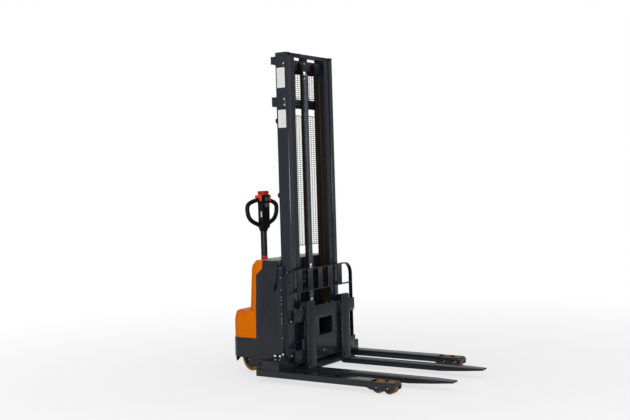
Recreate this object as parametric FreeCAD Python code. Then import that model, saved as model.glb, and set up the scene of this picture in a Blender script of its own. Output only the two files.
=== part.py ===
import FreeCAD, Part
import math
import os

# Electric walkie straddle stacker, all lengths in millimetres.
# Working axes: x grows towards the fork tips and is 0 on the front plane of the mast,
# y grows to the operator's left, z is up from the floor.

V = FreeCAD.Vector

# Named clearances
SEAT = 0.3            # gap between two curved faces that lie on each other
PIN_PLAY = 0.05       # radial play of a shaft in its bore
SLIDE_GAP = 6.0       # gap between sections that slide past each other
SHEET = 4.0           # thickness of the covers

# Overall lengths
REAR_X = -550.0
TIP_X = 1198.0
SHIFT_X = -(REAR_X + TIP_X) / 2.0

# Mast
MAST_TOP = 2272.0
MAST_FOOT = 70.3
OUTER_HALF = 299.0
OUTER_DEPTH = 100.0
OUTER_TOP = MAST_TOP + 2.0
CORNER_R = 9.0
TIP_R = 4.0
WEB = 10.0
FLANGE = 14.0
OUTER_FLANGE_W = 49.0
INNER_FLANGE_W = 48.0
OUTER_TIP = OUTER_HALF - OUTER_FLANGE_W
INNER_FACE = OUTER_TIP - SLIDE_GAP
INNER_TIP = INNER_FACE - INNER_FLANGE_W
INNER_FRONT = -4.0
INNER_REAR = -96.0
INNER_FOOT = 80.0
CHANNEL_X = -OUTER_DEPTH / 2.0
ROLLER_R = (OUTER_DEPTH - 2 * FLANGE) / 2.0 - SLIDE_GAP
INNER_ROLLER_R = (INNER_FRONT - INNER_REAR - 2 * FLANGE) / 2.0 - SLIDE_GAP
EAR = 8.0
TIE_REAR = -130.0
TIE_T = 12.0
TOP_TIE = (MAST_TOP - 80.0, MAST_TOP - 26.0)
MID_TIE = (MAST_TOP - 376.0, MAST_TOP - 308.0)
FOOT_TIE = (600.0, 660.0)
GUARD_BOTTOM = 903.0
GUARD_GAP = (MID_TIE[0] - 50.0, MID_TIE[1] + 4.0)
GUARD_TOP = TOP_TIE[0] - 6.0
GUARD_IN = OUTER_HALF - 37.0
GUARD_OUT = OUTER_HALF - 13.0

# Lift cylinder and chains
LIFT_X = -55.0
BARREL_R = 24.0
ROD_R = 16.0
BARREL_FOOT = MAST_FOOT
BARREL_TOP = MAST_TOP - 142.0
GLAND = 40.0
SHEAVE_Y = 86.0
SHEAVE_Z = MAST_TOP - 100.0
SHEAVE_R = 28.0
SHEAVE_W = 26.0
CHAIN_W = 22.0
CHAIN_T = 12.0
CHAIN_PITCH = 25.4
CHAIN_X = SHEAVE_R + CHAIN_T / 2.0
CHAIN_ANCHOR_Z = 268.0
REAR_ANCHOR_Z = MID_TIE[1] + 2.0

# Carriage, forks and load backrest
PLATE_REAR = 51.0
PLATE_FRONT = 71.0
PLATE_HALF = 392.0
UPPER_PLATE = (390.0, 486.0)
LOWER_PLATE = (104.0, 268.0)
WING_TOP = 200.0       # top of the lower plate outside the forks
STILE_OUT = INNER_TIP - SLIDE_GAP
STILE_T = 14.0
STILE_REAR = -80.0
FORK_Y = 231.0
FORK_W = 104.0
SHANK_REAR = PLATE_FRONT + SEAT
SHANK_T = 28.0
SHANK_TOP = 532.0
HOOK_DROP = 60.0      # reach of the fork's hook down behind the upper plate
FORK_TOP = 62.0
FORK_HEEL_T = 34.0
FORK_TIP_T = 12.0
BACKREST_HALF = 437.0
BACKREST_TOP = 752.0
BACKREST_FOOT = 154.0
BACKREST_FRONT = 38.0
BACKREST_DEPTH = 28.0
BAR_T = 8.0
BACKREST_R = 90.0

# Straddle legs, load wheels and base
BRACKET_REACH = 121.0
LEG_OUT = 537.5
LEG_W = 97.0
LEG_IN = LEG_OUT - LEG_W
LEG_BOTTOM = 36.0
LEG_TOP = 78.0
LEG_REAR = -168.0
BRACKET_REAR = 733.0
BRACKET_FRONT = 916.0
BRACKET_SIDE = 10.0
LOAD_WHEEL_R = 40.5
LOAD_WHEEL_X = (784.0, 867.0)
LOAD_WHEEL_W = 62.0
LOAD_AXLE_R = 10.0
BASE_FRONT = 20.0
BASE_PLATE = (LEG_BOTTOM, 70.0)

# Covers
COVER_HALF = 325.0
COVER_FRONT = -106.0
COVER_TOP = 815.0
SKIRT_TOP = 255.0
SKIRT_BOTTOM = 112.0
STEP_TOP = 452.0
INNER_HALF = COVER_HALF - 25.0
BATTERY_TOP = 588.0

# Drive wheel and caster
PARK_STEER = -17.0
DRIVE_X = -428.0
DRIVE_Y = -(COVER_HALF - 122.0)
DRIVE_R = 105.0
DRIVE_W = 70.0
DRIVE_AXLE_R = 20.0
CASTER_X = -420.0
CASTER_Y = COVER_HALF - 120.0
CASTER_TRAIL = 32.0
CASTER_R = 62.5
CASTER_W = 42.0
CASTER_AXLE_R = 8.0
DECK = (262.0, 274.0)
BULKHEAD = (-308.0, -296.0)

# Tiller
TILLER_X = -459.0
TILLER_PIVOT_Z = 540.0
SHAFT_R = 22.0
HEAD_FOOT = 1006.0
HEAD_TOP = 1272.0
HANDLE_TUBE = 15.0


def box(x0, x1, y0, y1, z0, z1):
    return Part.makeBox(x1 - x0, y1 - y0, z1 - z0, V(x0, y0, z0))


def cyl_y(r, x, y0, y1, z):
    return Part.makeCylinder(r, y1 - y0, V(x, y0, z), V(0, 1, 0))


def cyl_z(r, x, y, z0, z1):
    return Part.makeCylinder(r, z1 - z0, V(x, y, z0), V(0, 0, 1))


def side_prism(points, y0, y1):
    """Solid with the given x, z outline between y0 and y1."""
    ring = [V(x, y0, z) for x, z in points]
    wire = Part.makePolygon(ring + [ring[0]])
    return Part.Face(wire).extrude(V(0, y1 - y0, 0))


def front_prism(points, x0, x1):
    """Solid with the given y, z outline between x0 and x1."""
    ring = [V(x0, y, z) for y, z in points]
    wire = Part.makePolygon(ring + [ring[0]])
    return Part.Face(wire).extrude(V(x1 - x0, 0, 0))


def plan_prism(points, z0, z1):
    """Solid with the given x, y outline between z0 and z1."""
    ring = [V(x, y, z0) for x, y in points]
    wire = Part.makePolygon(ring + [ring[0]])
    return Part.Face(wire).extrude(V(0, 0, z1 - z0))


def fuse(pieces):
    whole = pieces[0].multiFuse(pieces[1:]) if len(pieces) > 1 else pieces[0]
    return whole.removeSplitter()


def mirror(shape):
    return shape.mirror(V(0, 0, 0), V(0, 1, 0))


def channel(face, tip, front, rear, z0, z1):
    """Rolled mast section open towards the middle, on the plus y side."""
    outline = [
        (rear, face),
        (front, face),
        (front, tip),
        (front - FLANGE, tip),
        (front - FLANGE, face - WEB),
        (rear + FLANGE, face - WEB),
        (rear + FLANGE, tip),
        (rear, tip),
    ]
    section = plan_prism(outline, z0, z1)
    for y, radius in ((face, CORNER_R), (tip, TIP_R)):
        corners = []
        for edge in section.Edges:
            a = edge.Vertexes[0].Point
            upright = abs(edge.Vertexes[1].Point.z - a.z) > 1
            if upright and abs(a.y - y) < 0.01 and (abs(a.x - front) < 0.01 or abs(a.x - rear) < 0.01):
                corners.append(edge)
        section = section.makeFillet(radius, corners)
    return section


def outer_mast():
    upright = channel(OUTER_HALF, OUTER_TIP, 0.0, -OUTER_DEPTH, MAST_FOOT, OUTER_TOP)
    parts = [upright, mirror(upright)]
    for z0, z1 in (TOP_TIE, MID_TIE, FOOT_TIE):
        parts.append(box(TIE_REAR, TIE_REAR + TIE_T, -OUTER_HALF - EAR, OUTER_HALF + EAR, z0, z1))
        ear = box(TIE_REAR, -22.0, OUTER_HALF, OUTER_HALF + EAR, z0, z1)
        parts.append(ear)
        parts.append(mirror(ear))
    anchor = box(TIE_REAR + TIE_T, LIFT_X - SHEAVE_R + 4, SHEAVE_Y - 16, SHEAVE_Y + 16, REAR_ANCHOR_Z - 14, REAR_ANCHOR_Z - 2)
    parts.append(anchor)
    parts.append(mirror(anchor))
    return fuse(parts)


def inner_mast():
    upright = channel(INNER_FACE, INNER_TIP, INNER_FRONT, INNER_REAR, INNER_FOOT, MAST_TOP - 8)
    parts = [upright, mirror(upright)]
    parts.append(box(INNER_REAR, INNER_FRONT, -INNER_FACE, INNER_FACE, MAST_TOP - 8, MAST_TOP))
    parts.append(box(-30.0, INNER_FRONT, -INNER_TIP, INNER_TIP, MAST_TOP - 27, MAST_TOP - 8))
    parts.append(box(INNER_REAR, INNER_REAR + 10, -INNER_TIP, INNER_TIP, INNER_FOOT + 10, INNER_FOOT + 100))
    reach = INNER_FACE - WEB
    head = box(LIFT_X - 18, LIFT_X + 18, -reach, reach, SHEAVE_Z - 14, SHEAVE_Z + 57)
    for side in (-1, 1):
        head = head.cut(box(-120.0, 20.0, side * SHEAVE_Y - 17, side * SHEAVE_Y + 17, SHEAVE_Z - 72, SHEAVE_Z + 45))
    parts.append(head)
    pin = cyl_y(8.0, LIFT_X, SHEAVE_Y - 20, SHEAVE_Y + 20, SHEAVE_Z)
    parts.append(pin)
    parts.append(mirror(pin))
    # running rollers stand in the outer channels at the foot of the section
    for z in (INNER_FOOT + 45, INNER_FOOT + 420):
        roller = cyl_y(ROLLER_R, CHANNEL_X, INNER_FACE, OUTER_HALF - WEB - SLIDE_GAP, z)
        parts.append(roller)
        parts.append(mirror(roller))
    return fuse(parts)


def sheave(side):
    """Sheave with the stretch of chain that lies on it."""
    y = side * SHEAVE_Y
    body = cyl_y(SHEAVE_R, LIFT_X, y - SHEAVE_W / 2, y + SHEAVE_W / 2, SHEAVE_Z)
    wrap = cyl_y(SHEAVE_R + CHAIN_T - 1, LIFT_X, y - CHAIN_W / 2, y + CHAIN_W / 2, SHEAVE_Z)
    reach = SHEAVE_R + CHAIN_T
    body = body.fuse(wrap.common(box(LIFT_X - reach, LIFT_X + reach, y - CHAIN_W, y + CHAIN_W, SHEAVE_Z + 0.3, 9000.0)))
    for edge in (-1, 1):
        y0 = y + edge * SHEAVE_W / 2
        rim = cyl_y(SHEAVE_R + 12, LIFT_X, min(y0, y0 + edge * 3), max(y0, y0 + edge * 3), SHEAVE_Z)
        body = body.fuse(rim)
    bore = cyl_y(8.0 + PIN_PLAY, LIFT_X, y - 30, y + 30, SHEAVE_Z)
    return body.removeSplitter().cut(bore)


def cylinder_barrel():
    tube = cyl_z(BARREL_R, LIFT_X, 0, BARREL_FOOT, BARREL_TOP)
    gland = cyl_z(BARREL_R + 3, LIFT_X, 0, BARREL_TOP - GLAND, BARREL_TOP)
    foot = cyl_z(BARREL_R + 6, LIFT_X, 0, BARREL_FOOT, BARREL_FOOT + 30)
    tube = fuse([tube, gland, foot])
    tube = tube.cut(cyl_z(ROD_R + 3, LIFT_X, 0, BARREL_FOOT + 40, BARREL_TOP - GLAND))
    return tube.cut(cyl_z(ROD_R + PIN_PLAY, LIFT_X, 0, BARREL_TOP - GLAND - 1, BARREL_TOP + 1))


def piston_rod():
    return cyl_z(ROD_R, LIFT_X, 0, 330.0, SHEAVE_Z - 14)


def strand(x, y, z0, z1):
    """Leaf chain between two heights: link plates waisted halfway between their pins."""
    links = round((z1 - z0) / CHAIN_PITCH)
    pitch = (z1 - z0) / links
    outer = []
    waist = CHAIN_T / 2 - 2.5
    for i in range(links):
        outer.append((CHAIN_T / 2, z0 + i * pitch))
        outer.append((waist, z0 + (i + 0.5) * pitch))
    edge = outer + [(CHAIN_T / 2, z1)]
    outline = [(x + dx, z) for dx, z in edge] + [(x - dx, z) for dx, z in reversed(edge)]
    return side_prism(outline, y - CHAIN_W / 2, y + CHAIN_W / 2)


def front_chain(side):
    return strand(LIFT_X + CHAIN_X, side * SHEAVE_Y, CHAIN_ANCHOR_Z, SHEAVE_Z)


def rear_chain(side):
    return strand(LIFT_X - CHAIN_X, side * SHEAVE_Y, REAR_ANCHOR_Z, SHEAVE_Z)


def mesh_guard():
    front = -OUTER_DEPTH
    y_in = GUARD_IN
    bar = box(front - 6, front, y_in, GUARD_OUT, GUARD_BOTTOM, GUARD_TOP)
    parts = [bar, mirror(bar)]
    # each panel: bottom, top, rows
    panels = [
        (GUARD_BOTTOM, GUARD_GAP[0], 18),
        (GUARD_GAP[1], GUARD_TOP, 4),
    ]
    columns = 10
    wire = 4.0
    for z0, z1, rows in panels:
        outline = Part.makePolygon([
            V(front - 6, -y_in, z0),
            V(front - 6, y_in, z0),
            V(front - 6, y_in, z1),
            V(front - 6, -y_in, z1),
            V(front - 6, -y_in, z0),
        ])
        pitch_y = (2 * y_in - wire) / columns
        pitch_z = (z1 - z0 - wire) / rows
        holes = []
        for i in range(columns):
            for j in range(rows):
                y0 = -y_in + wire + i * pitch_y
                y1 = y0 + pitch_y - wire
                a = z0 + wire + j * pitch_z
                b = a + pitch_z - wire
                holes.append(Part.makePolygon([
                    V(front - 6, y0, a),
                    V(front - 6, y1, a),
                    V(front - 6, y1, b),
                    V(front - 6, y0, b),
                    V(front - 6, y0, a),
                ]))
        face = Part.Face(Part.Wire(outline.Edges))
        face = face.cut(Part.makeCompound([Part.Face(Part.Wire(h.Edges)) for h in holes]))
        parts.append(face.extrude(V(3.0, 0, 0)))
    return fuse(parts)


def carriage():
    parts = []
    z0, z1 = LOWER_PLATE
    parts.append(box(PLATE_REAR, PLATE_FRONT, -PLATE_HALF, PLATE_HALF, UPPER_PLATE[0], UPPER_PLATE[1]))
    parts.append(box(PLATE_REAR, PLATE_FRONT, -PLATE_HALF, PLATE_HALF, z0, WING_TOP))
    reach = FORK_Y + FORK_W / 2 + 4
    parts.append(box(PLATE_REAR, PLATE_FRONT, -reach, reach, z0, z1))
    stile_top = SHANK_TOP - HOOK_DROP - SLIDE_GAP
    stile = box(STILE_REAR, PLATE_REAR, STILE_OUT - STILE_T, STILE_OUT, LOWER_PLATE[0], stile_top)
    post = box(PLATE_REAR, PLATE_FRONT, STILE_OUT - 101, STILE_OUT, LOWER_PLATE[1], UPPER_PLATE[0])
    lug = box(-30.0, PLATE_REAR, SHEAVE_Y - 18, SHEAVE_Y + 18, CHAIN_ANCHOR_Z - 16, CHAIN_ANCHOR_Z)
    web = box(20.0, PLATE_REAR, SHEAVE_Y + 18, STILE_OUT - STILE_T, CHAIN_ANCHOR_Z - 16, CHAIN_ANCHOR_Z)
    halves = [stile, post, lug, web]
    for z in (LOWER_PLATE[0] + 46, stile_top - 30):
        halves.append(cyl_y(INNER_ROLLER_R, CHANNEL_X, STILE_OUT, INNER_FACE - WEB - SLIDE_GAP, z))
    for shape in halves:
        parts.append(shape)
        parts.append(mirror(shape))
    whole = fuse(parts)
    corner = [(PLATE_HALF - 30, z0), (PLATE_HALF - 10, z0 + 10), (PLATE_HALF, z0 + 30), (PLATE_HALF + 1, z0)]
    trim = front_prism(corner, PLATE_REAR - 5, PLATE_FRONT + 5)
    return whole.cut(trim).cut(mirror(trim))


def fork(side):
    y0 = side * FORK_Y - FORK_W / 2
    y1 = side * FORK_Y + FORK_W / 2
    front = SHANK_REAR + SHANK_T
    hook_rear = SHANK_REAR - 34
    outline = [
        (SHANK_REAR, FORK_TOP - FORK_HEEL_T + 30),
        (SHANK_REAR + 4, FORK_TOP - FORK_HEEL_T + 15),
        (SHANK_REAR + 14, FORK_TOP - FORK_HEEL_T + 5),
        (SHANK_REAR + 30, FORK_TOP - FORK_HEEL_T),
        (880.0, FORK_TOP - FORK_HEEL_T),
        (TIP_X - 6, FORK_TOP - FORK_TIP_T),
        (TIP_X, FORK_TOP - FORK_TIP_T + 4),
        (TIP_X - 4, FORK_TOP),
        (front + 24, FORK_TOP),
        (front + 7, FORK_TOP + 7),
        (front, FORK_TOP + 24),
        (front, SHANK_TOP - 8),
        (front - 8, SHANK_TOP),
        (SHANK_REAR - 6, SHANK_TOP),
        (hook_rear + 12, SHANK_TOP - 14),
        (hook_rear + 3, SHANK_TOP - 32),
        (hook_rear, SHANK_TOP - HOOK_DROP),
        (PLATE_REAR - 2, SHANK_TOP - HOOK_DROP),
        (PLATE_REAR - 2, UPPER_PLATE[1] + 4),
        (SHANK_REAR, UPPER_PLATE[1] + 4),
    ]
    body = side_prism(outline, y0, y1)
    # the point narrows in plan over the last stretch
    for edge in (-1, 1):
        y_edge = side * FORK_Y + edge * FORK_W / 2
        taper = [
            (TIP_X - 150, y_edge),
            (TIP_X + 5, y_edge - edge * 22),
            (TIP_X + 5, y_edge + edge * 10),
            (TIP_X - 150, y_edge + edge * 10),
        ]
        body = body.cut(plan_prism(taper, 0.0, 100.0))
    return body


def load_backrest():
    rear = BACKREST_FRONT - BACKREST_DEPTH
    outer = box(rear, BACKREST_FRONT, -BACKREST_HALF, BACKREST_HALF, BACKREST_FOOT, BACKREST_TOP)
    top_edges = []
    for edge in outer.Edges:
        a = edge.Vertexes[0].Point
        b = edge.Vertexes[1].Point
        along_x = abs(a.y - b.y) < 0.01 and abs(a.z - b.z) < 0.01
        if along_x and a.z > BACKREST_TOP - 1:
            top_edges.append(edge)
    outer = outer.makeFillet(BACKREST_R, top_edges)
    inner = box(
        rear - 1, BACKREST_FRONT + 1, -BACKREST_HALF + BAR_T, BACKREST_HALF - BAR_T, 0.0, BACKREST_TOP - BAR_T)
    top_edges = []
    for edge in inner.Edges:
        a = edge.Vertexes[0].Point
        b = edge.Vertexes[1].Point
        along_x = abs(a.y - b.y) < 0.01 and abs(a.z - b.z) < 0.01
        if along_x and a.z > BACKREST_TOP - BAR_T - 1:
            top_edges.append(edge)
    inner = inner.makeFillet(BACKREST_R - BAR_T, top_edges)
    frame = outer.cut(inner)
    mid = 592.0
    parts = [frame]
    parts.append(box(rear, BACKREST_FRONT, -BACKREST_HALF + 1, BACKREST_HALF - 1, mid, mid + BAR_T))
    for y in (-264.0, -132.0, 0.0, 132.0, 264.0):
        parts.append(box(BACKREST_FRONT - 7, BACKREST_FRONT - 1, y - 30, y + 30, mid, BACKREST_TOP - 1))
    # lugs lie on the back of the two carriage plates
    for z0, z1 in ((UPPER_PLATE[0] + 6, UPPER_PLATE[1] - 6), (BACKREST_FOOT, WING_TOP - 4)):
        lug = box(BACKREST_FRONT - 1, PLATE_REAR - SEAT, PLATE_HALF - 50, BACKREST_HALF, z0, z1)
        parts.append(lug)
        parts.append(mirror(lug))
    return fuse(parts)


def leg(side):
    beam = box(LEG_REAR, BRACKET_REAR, LEG_IN, LEG_OUT, LEG_BOTTOM, LEG_TOP)
    cheek = [
        (BRACKET_REAR - 30, LEG_BOTTOM + 2),
        (BRACKET_REAR + 14, 22.0),
        (BRACKET_FRONT - 14, 22.0),
        (BRACKET_FRONT, 34.0),
        (BRACKET_FRONT, 62.0),
        (BRACKET_FRONT - 12, 76.0),
        (BRACKET_REAR - 30, 76.0),
    ]
    parts = [beam]
    for y0 in (LEG_IN, LEG_OUT - BRACKET_SIDE):
        parts.append(side_prism(cheek, y0, y0 + BRACKET_SIDE))
    front = [
        (BRACKET_FRONT - 4, 50.0),
        (BRACKET_FRONT + 2, 50.0),
        (BRACKET_FRONT + 2, 60.0),
        (BRACKET_FRONT - 12, 76.0),
        (BRACKET_FRONT - 20, 76.0),
        (BRACKET_FRONT - 14, 72.0),
    ]
    parts.append(side_prism(front, LEG_IN, LEG_OUT))
    for x in LOAD_WHEEL_X:
        parts.append(cyl_y(LOAD_AXLE_R, x, LEG_IN - 3, LEG_OUT + 3 - 3, LOAD_WHEEL_R))
    whole = fuse(parts)
    whole = whole if side > 0 else mirror(whole)
    return whole


def load_wheel(side, x):
    y_mid = side * (LEG_OUT + LEG_IN) / 2
    wheel = cyl_y(LOAD_WHEEL_R, x, y_mid - LOAD_WHEEL_W / 2, y_mid + LOAD_WHEEL_W / 2, LOAD_WHEEL_R)
    rims = [e for e in wheel.Edges if abs(e.Length - 2 * math.pi * LOAD_WHEEL_R) < 0.1 and len(e.Vertexes) == 1]
    wheel = wheel.makeChamfer(3.0, rims)
    bore = cyl_y(LOAD_AXLE_R + PIN_PLAY, x, y_mid - 60, y_mid + 60, LOAD_WHEEL_R)
    return wheel.cut(bore)


def chassis():
    z0, z1 = BASE_PLATE
    base = box(BULKHEAD[0], BASE_FRONT, -LEG_IN + SEAT, LEG_IN - SEAT, z0, z1)
    clear_rear = box(BULKHEAD[0] - 10, LEG_REAR - 20, -LEG_IN - 5, -COVER_HALF + SHEET + SEAT, z0 - 5, z1 + 5)
    base = base.cut(clear_rear).cut(mirror(clear_rear))
    riser = box(BULKHEAD[0], BULKHEAD[1], -INNER_HALF, INNER_HALF, z1 - 1, DECK[1])
    deck = rounded_plan(REAR_X + 28, BULKHEAD[1], INNER_HALF, 70.0, DECK[0], DECK[1])
    parts = [base, riser, deck]
    # sills stand behind the lower edge of the cover
    sill = box(-272.0, COVER_FRONT - 26, INNER_HALF - 4, COVER_HALF - SHEET - 2 * SEAT, z1 - 1, SKIRT_BOTTOM + 18)
    saddle = box(-125.0, BASE_FRONT, OUTER_HALF + EAR + 6, LEG_OUT - 6, LEG_TOP + SEAT, 146.0)
    foot = box(-125.0, BASE_FRONT, OUTER_HALF + EAR + 6, LEG_IN - SEAT, z1 - 1, LEG_TOP + 10)
    for shape in (sill, saddle, foot):
        parts.append(shape)
        parts.append(mirror(shape))
    whole = fuse(parts)
    bearing = cyl_z(30.0 + PIN_PLAY, DRIVE_X, DRIVE_Y, DECK[0] - 5, DECK[1] + 5)
    swivel = cyl_z(14.0 + PIN_PLAY, CASTER_X, CASTER_Y, DECK[0] - 5, DECK[1] + 5)
    return whole.cut(bearing).cut(swivel)


def mast_bracket(side):
    """Plate that ties the foot of the mast to the saddle on the leg."""
    y0 = OUTER_HALF + SEAT
    plate = box(-100.0, 12.0, y0, y0 + EAR + 5, 147.0, 196.0)
    shelf = box(-100.0, 12.0, y0, OUTER_HALF + BRACKET_REACH, 146.0, 156.0)
    whole = fuse([plate, shelf])
    return whole if side > 0 else mirror(whole)


def battery():
    half = INNER_HALF - 10
    return box(BULKHEAD[1] + 8, COVER_FRONT - 30, -half, half, BASE_PLATE[1] + SEAT, BATTERY_TOP)


def rounded_plan(x0, x1, half, radius, z0, z1):
    """Block with the two upright corners at x0 rounded."""
    block = box(x0, x1, -half, half, z0, z1)
    edges = []
    for edge in block.Edges:
        a = edge.Vertexes[0].Point
        b = edge.Vertexes[1].Point
        if abs(a.x - x0) < 0.01 and abs(b.x - x0) < 0.01 and abs(a.y - b.y) < 0.01:
            edges.append(edge)
    return block.makeFillet(radius, edges)


def skirt_block(inset):
    return rounded_plan(REAR_X + inset, COVER_FRONT - inset, COVER_HALF - inset, 80.0 - inset, SKIRT_BOTTOM, SKIRT_TOP)


def body_cover():
    """Dark sheet cover: upper case in front and the skirt round both rear wheels."""
    t = SHEET
    skirt = skirt_block(0.0)
    # the skirt reaches down ahead of the drive wheel
    lobe = [
        (-392.0, SKIRT_BOTTOM + 1),
        (-392.0, 64.0),
        (-386.0, 56.0),
        (-376.0, 53.0),
        (-324.0, 53.0),
        (-308.0, 60.0),
        (-292.0, 74.0),
        (-279.0, 92.0),
        (-268.0, SKIRT_BOTTOM + 1),
    ]
    lower = side_prism(lobe, -COVER_HALF, COVER_HALF)
    upper_outline = [
        (-317.0, SKIRT_TOP - 1),
        (COVER_FRONT, SKIRT_TOP - 1),
        (COVER_FRONT, COVER_TOP),
        (-242.0, COVER_TOP),
        (-249.0, 757.0),
        (-302.0, 714.0),
    ]
    upper = side_prism(upper_outline, -COVER_HALF, COVER_HALF)
    whole = fuse([skirt, lower, upper])
    hollow = rounded_plan(REAR_X + t, COVER_FRONT - t, COVER_HALF - t, 80.0 - t, 0.0, SKIRT_TOP - t)
    inner_outline = [
        (-317.0, SKIRT_TOP - t - 1),
        (COVER_FRONT - t, SKIRT_TOP - t - 1),
        (COVER_FRONT - t, COVER_TOP - t),
        (-246.0, COVER_TOP - t),
        (-253.0, 755.0),
        (-313.0, 706.0),
    ]
    upper_hollow = side_prism(inner_outline, -COVER_HALF + t, COVER_HALF - t)
    whole = whole.cut(hollow).cut(upper_hollow)
    # opening in the top of the skirt under the rear cover
    whole = whole.cut(rounded_plan(REAR_X + 16, -312.0, COVER_HALF - 16, 64.0, SKIRT_TOP - 10, SKIRT_TOP + 1))
    # front notch round the saddles on the legs
    whole = whole.cut(box(-131.0, COVER_FRONT + 1, -COVER_HALF - 1, COVER_HALF + 1, 0.0, 152.0))
    # room behind the mast for its lower tie
    tie_reach = OUTER_HALF + EAR + 3
    z0, z1 = FOOT_TIE
    whole = whole.cut(box(TIE_REAR - 4, COVER_FRONT + 1, -tie_reach, tie_reach, z0 - SLIDE_GAP, z1 + SLIDE_GAP))
    # an oval grip in each side, and the seam that rises from it to the front corner
    low = cyl_y(9.0, COVER_FRONT - 31, COVER_HALF - 25, COVER_HALF + 5, COVER_TOP - 203)
    high = cyl_y(9.0, COVER_FRONT - 27, COVER_HALF - 25, COVER_HALF + 5, COVER_TOP - 166)
    slot = side_prism([
        (COVER_FRONT - 40, COVER_TOP - 203),
        (COVER_FRONT - 22, COVER_TOP - 203),
        (COVER_FRONT - 18, COVER_TOP - 166),
        (COVER_FRONT - 36, COVER_TOP - 166),
    ], COVER_HALF - 25, COVER_HALF + 5)
    seam = side_prism([
        (COVER_FRONT - 28, COVER_TOP - 166),
        (COVER_FRONT - 24, COVER_TOP - 166),
        (COVER_FRONT - 4, COVER_TOP - 6),
        (COVER_FRONT - 8, COVER_TOP - 6),
    ], COVER_HALF - 1.5, COVER_HALF + 5)
    grip = fuse([low, high, slot, seam])
    return whole.cut(grip).cut(mirror(grip))


def rear_cover():
    """Moulded cover over the drive unit with the panel behind the battery."""
    t = SHEET
    half = COVER_HALF - 3
    low = rounded_plan(REAR_X + 8, -318.3, half, 72.0, SKIRT_TOP + SEAT, STEP_TOP)
    outline = [
        (REAR_X + 8, SKIRT_TOP),
        (-318.3, SKIRT_TOP),
        (-318.3, STEP_TOP + 10),
        (REAR_X + 53, STEP_TOP + 10),
        (REAR_X + 53, STEP_TOP),
        (REAR_X + 33, STEP_TOP - 6),
        (REAR_X + 16, STEP_TOP - 22),
        (REAR_X + 8, STEP_TOP - 48),
    ]
    low = low.common(side_prism(outline, -half, half))
    band_outline = [
        (TILLER_X + 50, STEP_TOP - 10),
        (TILLER_X + 50, STEP_TOP),
        (-398.0, STEP_TOP + 5),
        (-387.0, STEP_TOP + 17),
        (-380.0, STEP_TOP + 40),
        (-337.0, 765.0),
        (-330.0, 784.0),
        (-297.0, COVER_TOP + 2),
        (-242.5, COVER_TOP + 2),
        (-249.5, 757.2),
        (-302.5, 714.4),
        (-317.6, STEP_TOP - 10),
    ]
    band = side_prism(band_outline, -half, half)
    band = band.common(plan_prism([
        (-430.0, -half + 69),
        (-340.0, -half),
        (-200.0, -half),
        (-200.0, half),
        (-340.0, half),
        (-430.0, half - 69),
    ], 300.0, 900.0))
    whole = fuse([low, band])
    hollow = rounded_plan(REAR_X + 8 + t, -322.0, half - t, 68.0, SKIRT_TOP - 5, STEP_TOP - t)
    hollow_outline = [
        (REAR_X + 8 + t, SKIRT_TOP - 5),
        (-322.0, SKIRT_TOP - 5),
        (-322.0, STEP_TOP - t),
        (REAR_X + 55, STEP_TOP - t),
        (REAR_X + 8 + t, STEP_TOP - 56),
    ]
    hollow = hollow.common(side_prism(hollow_outline, -half, half))
    deck_way = box(-330.0, -310.0, -INNER_HALF - 3, INNER_HALF + 3, SKIRT_TOP - 5, DECK[1] + 3)
    return whole.cut(hollow).cut(deck_way)


def top_panel():
    plate = box(-240.0, COVER_FRONT - 4, -INNER_HALF, INNER_HALF, COVER_TOP + SEAT, COVER_TOP + 5)
    lip = box(-290.0, -239.0, -INNER_HALF + 65, INNER_HALF - 65, COVER_TOP + 2 + SEAT, COVER_TOP + 5)
    return fuse([plate, lip])


def emergency_stop():
    x = -262.0
    y = -(COVER_HALF - 63.0)
    base = cyl_z(15.0, x, y, COVER_TOP + 2 + SEAT, COVER_TOP + 12)
    cap = cyl_z(20.0, x, y, COVER_TOP + 12, COVER_TOP + 28)
    rims = [e for e in cap.Edges if e.Vertexes[0].Point.z > COVER_TOP + 27 and len(e.Vertexes) == 1]
    cap = cap.makeChamfer(6.0, rims)
    return fuse([base, cap])


def key_switch():
    return fuse([
        cyl_z(14.0, -200.0, 0.0, COVER_TOP + 5 + SEAT, COVER_TOP + 11),
        box(-209.0, -191.0, -3.0, 3.0, COVER_TOP + 10, COVER_TOP + 28),
    ])


def charge_gauge():
    return box(-228.0, -180.0, -120.0, -40.0, COVER_TOP + 5 + SEAT, COVER_TOP + 12)


def turned(shape, x, y):
    """Turn by the parked steering angle about the upright line at x, y."""
    shape = shape.copy()
    shape.rotate(V(x, y, 0), V(0, 0, 1), PARK_STEER)
    return shape


def drive_yoke():
    x, y = DRIVE_X, DRIVE_Y
    cheek_y = y + DRIVE_W / 2 + 6
    disc = cyl_z(70.0, x, y, DECK[0] - 20, DECK[0] - 2)
    stem = cyl_z(30.0, x, y, DECK[0] - 3, DECK[1] + 8)
    motor = cyl_z(60.0, x, y, DECK[1] + 6, DECK[1] + 150)
    gearbox = box(x - 48, x + 48, cheek_y, cheek_y + 40, 118.0, DECK[0] - 20 + 1)
    round_end = cyl_y(48.0, x, cheek_y, cheek_y + 40, 118.0)
    axle = cyl_y(DRIVE_AXLE_R, x, y - DRIVE_W / 2 - 2, cheek_y + 1, DRIVE_R)
    arm = box(x - 48, x + 48, y - 30, cheek_y + 40, DECK[0] - 26, DECK[0] - 19)
    return turned(fuse([disc, stem, motor, gearbox, round_end, arm, axle]), x, y)


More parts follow.
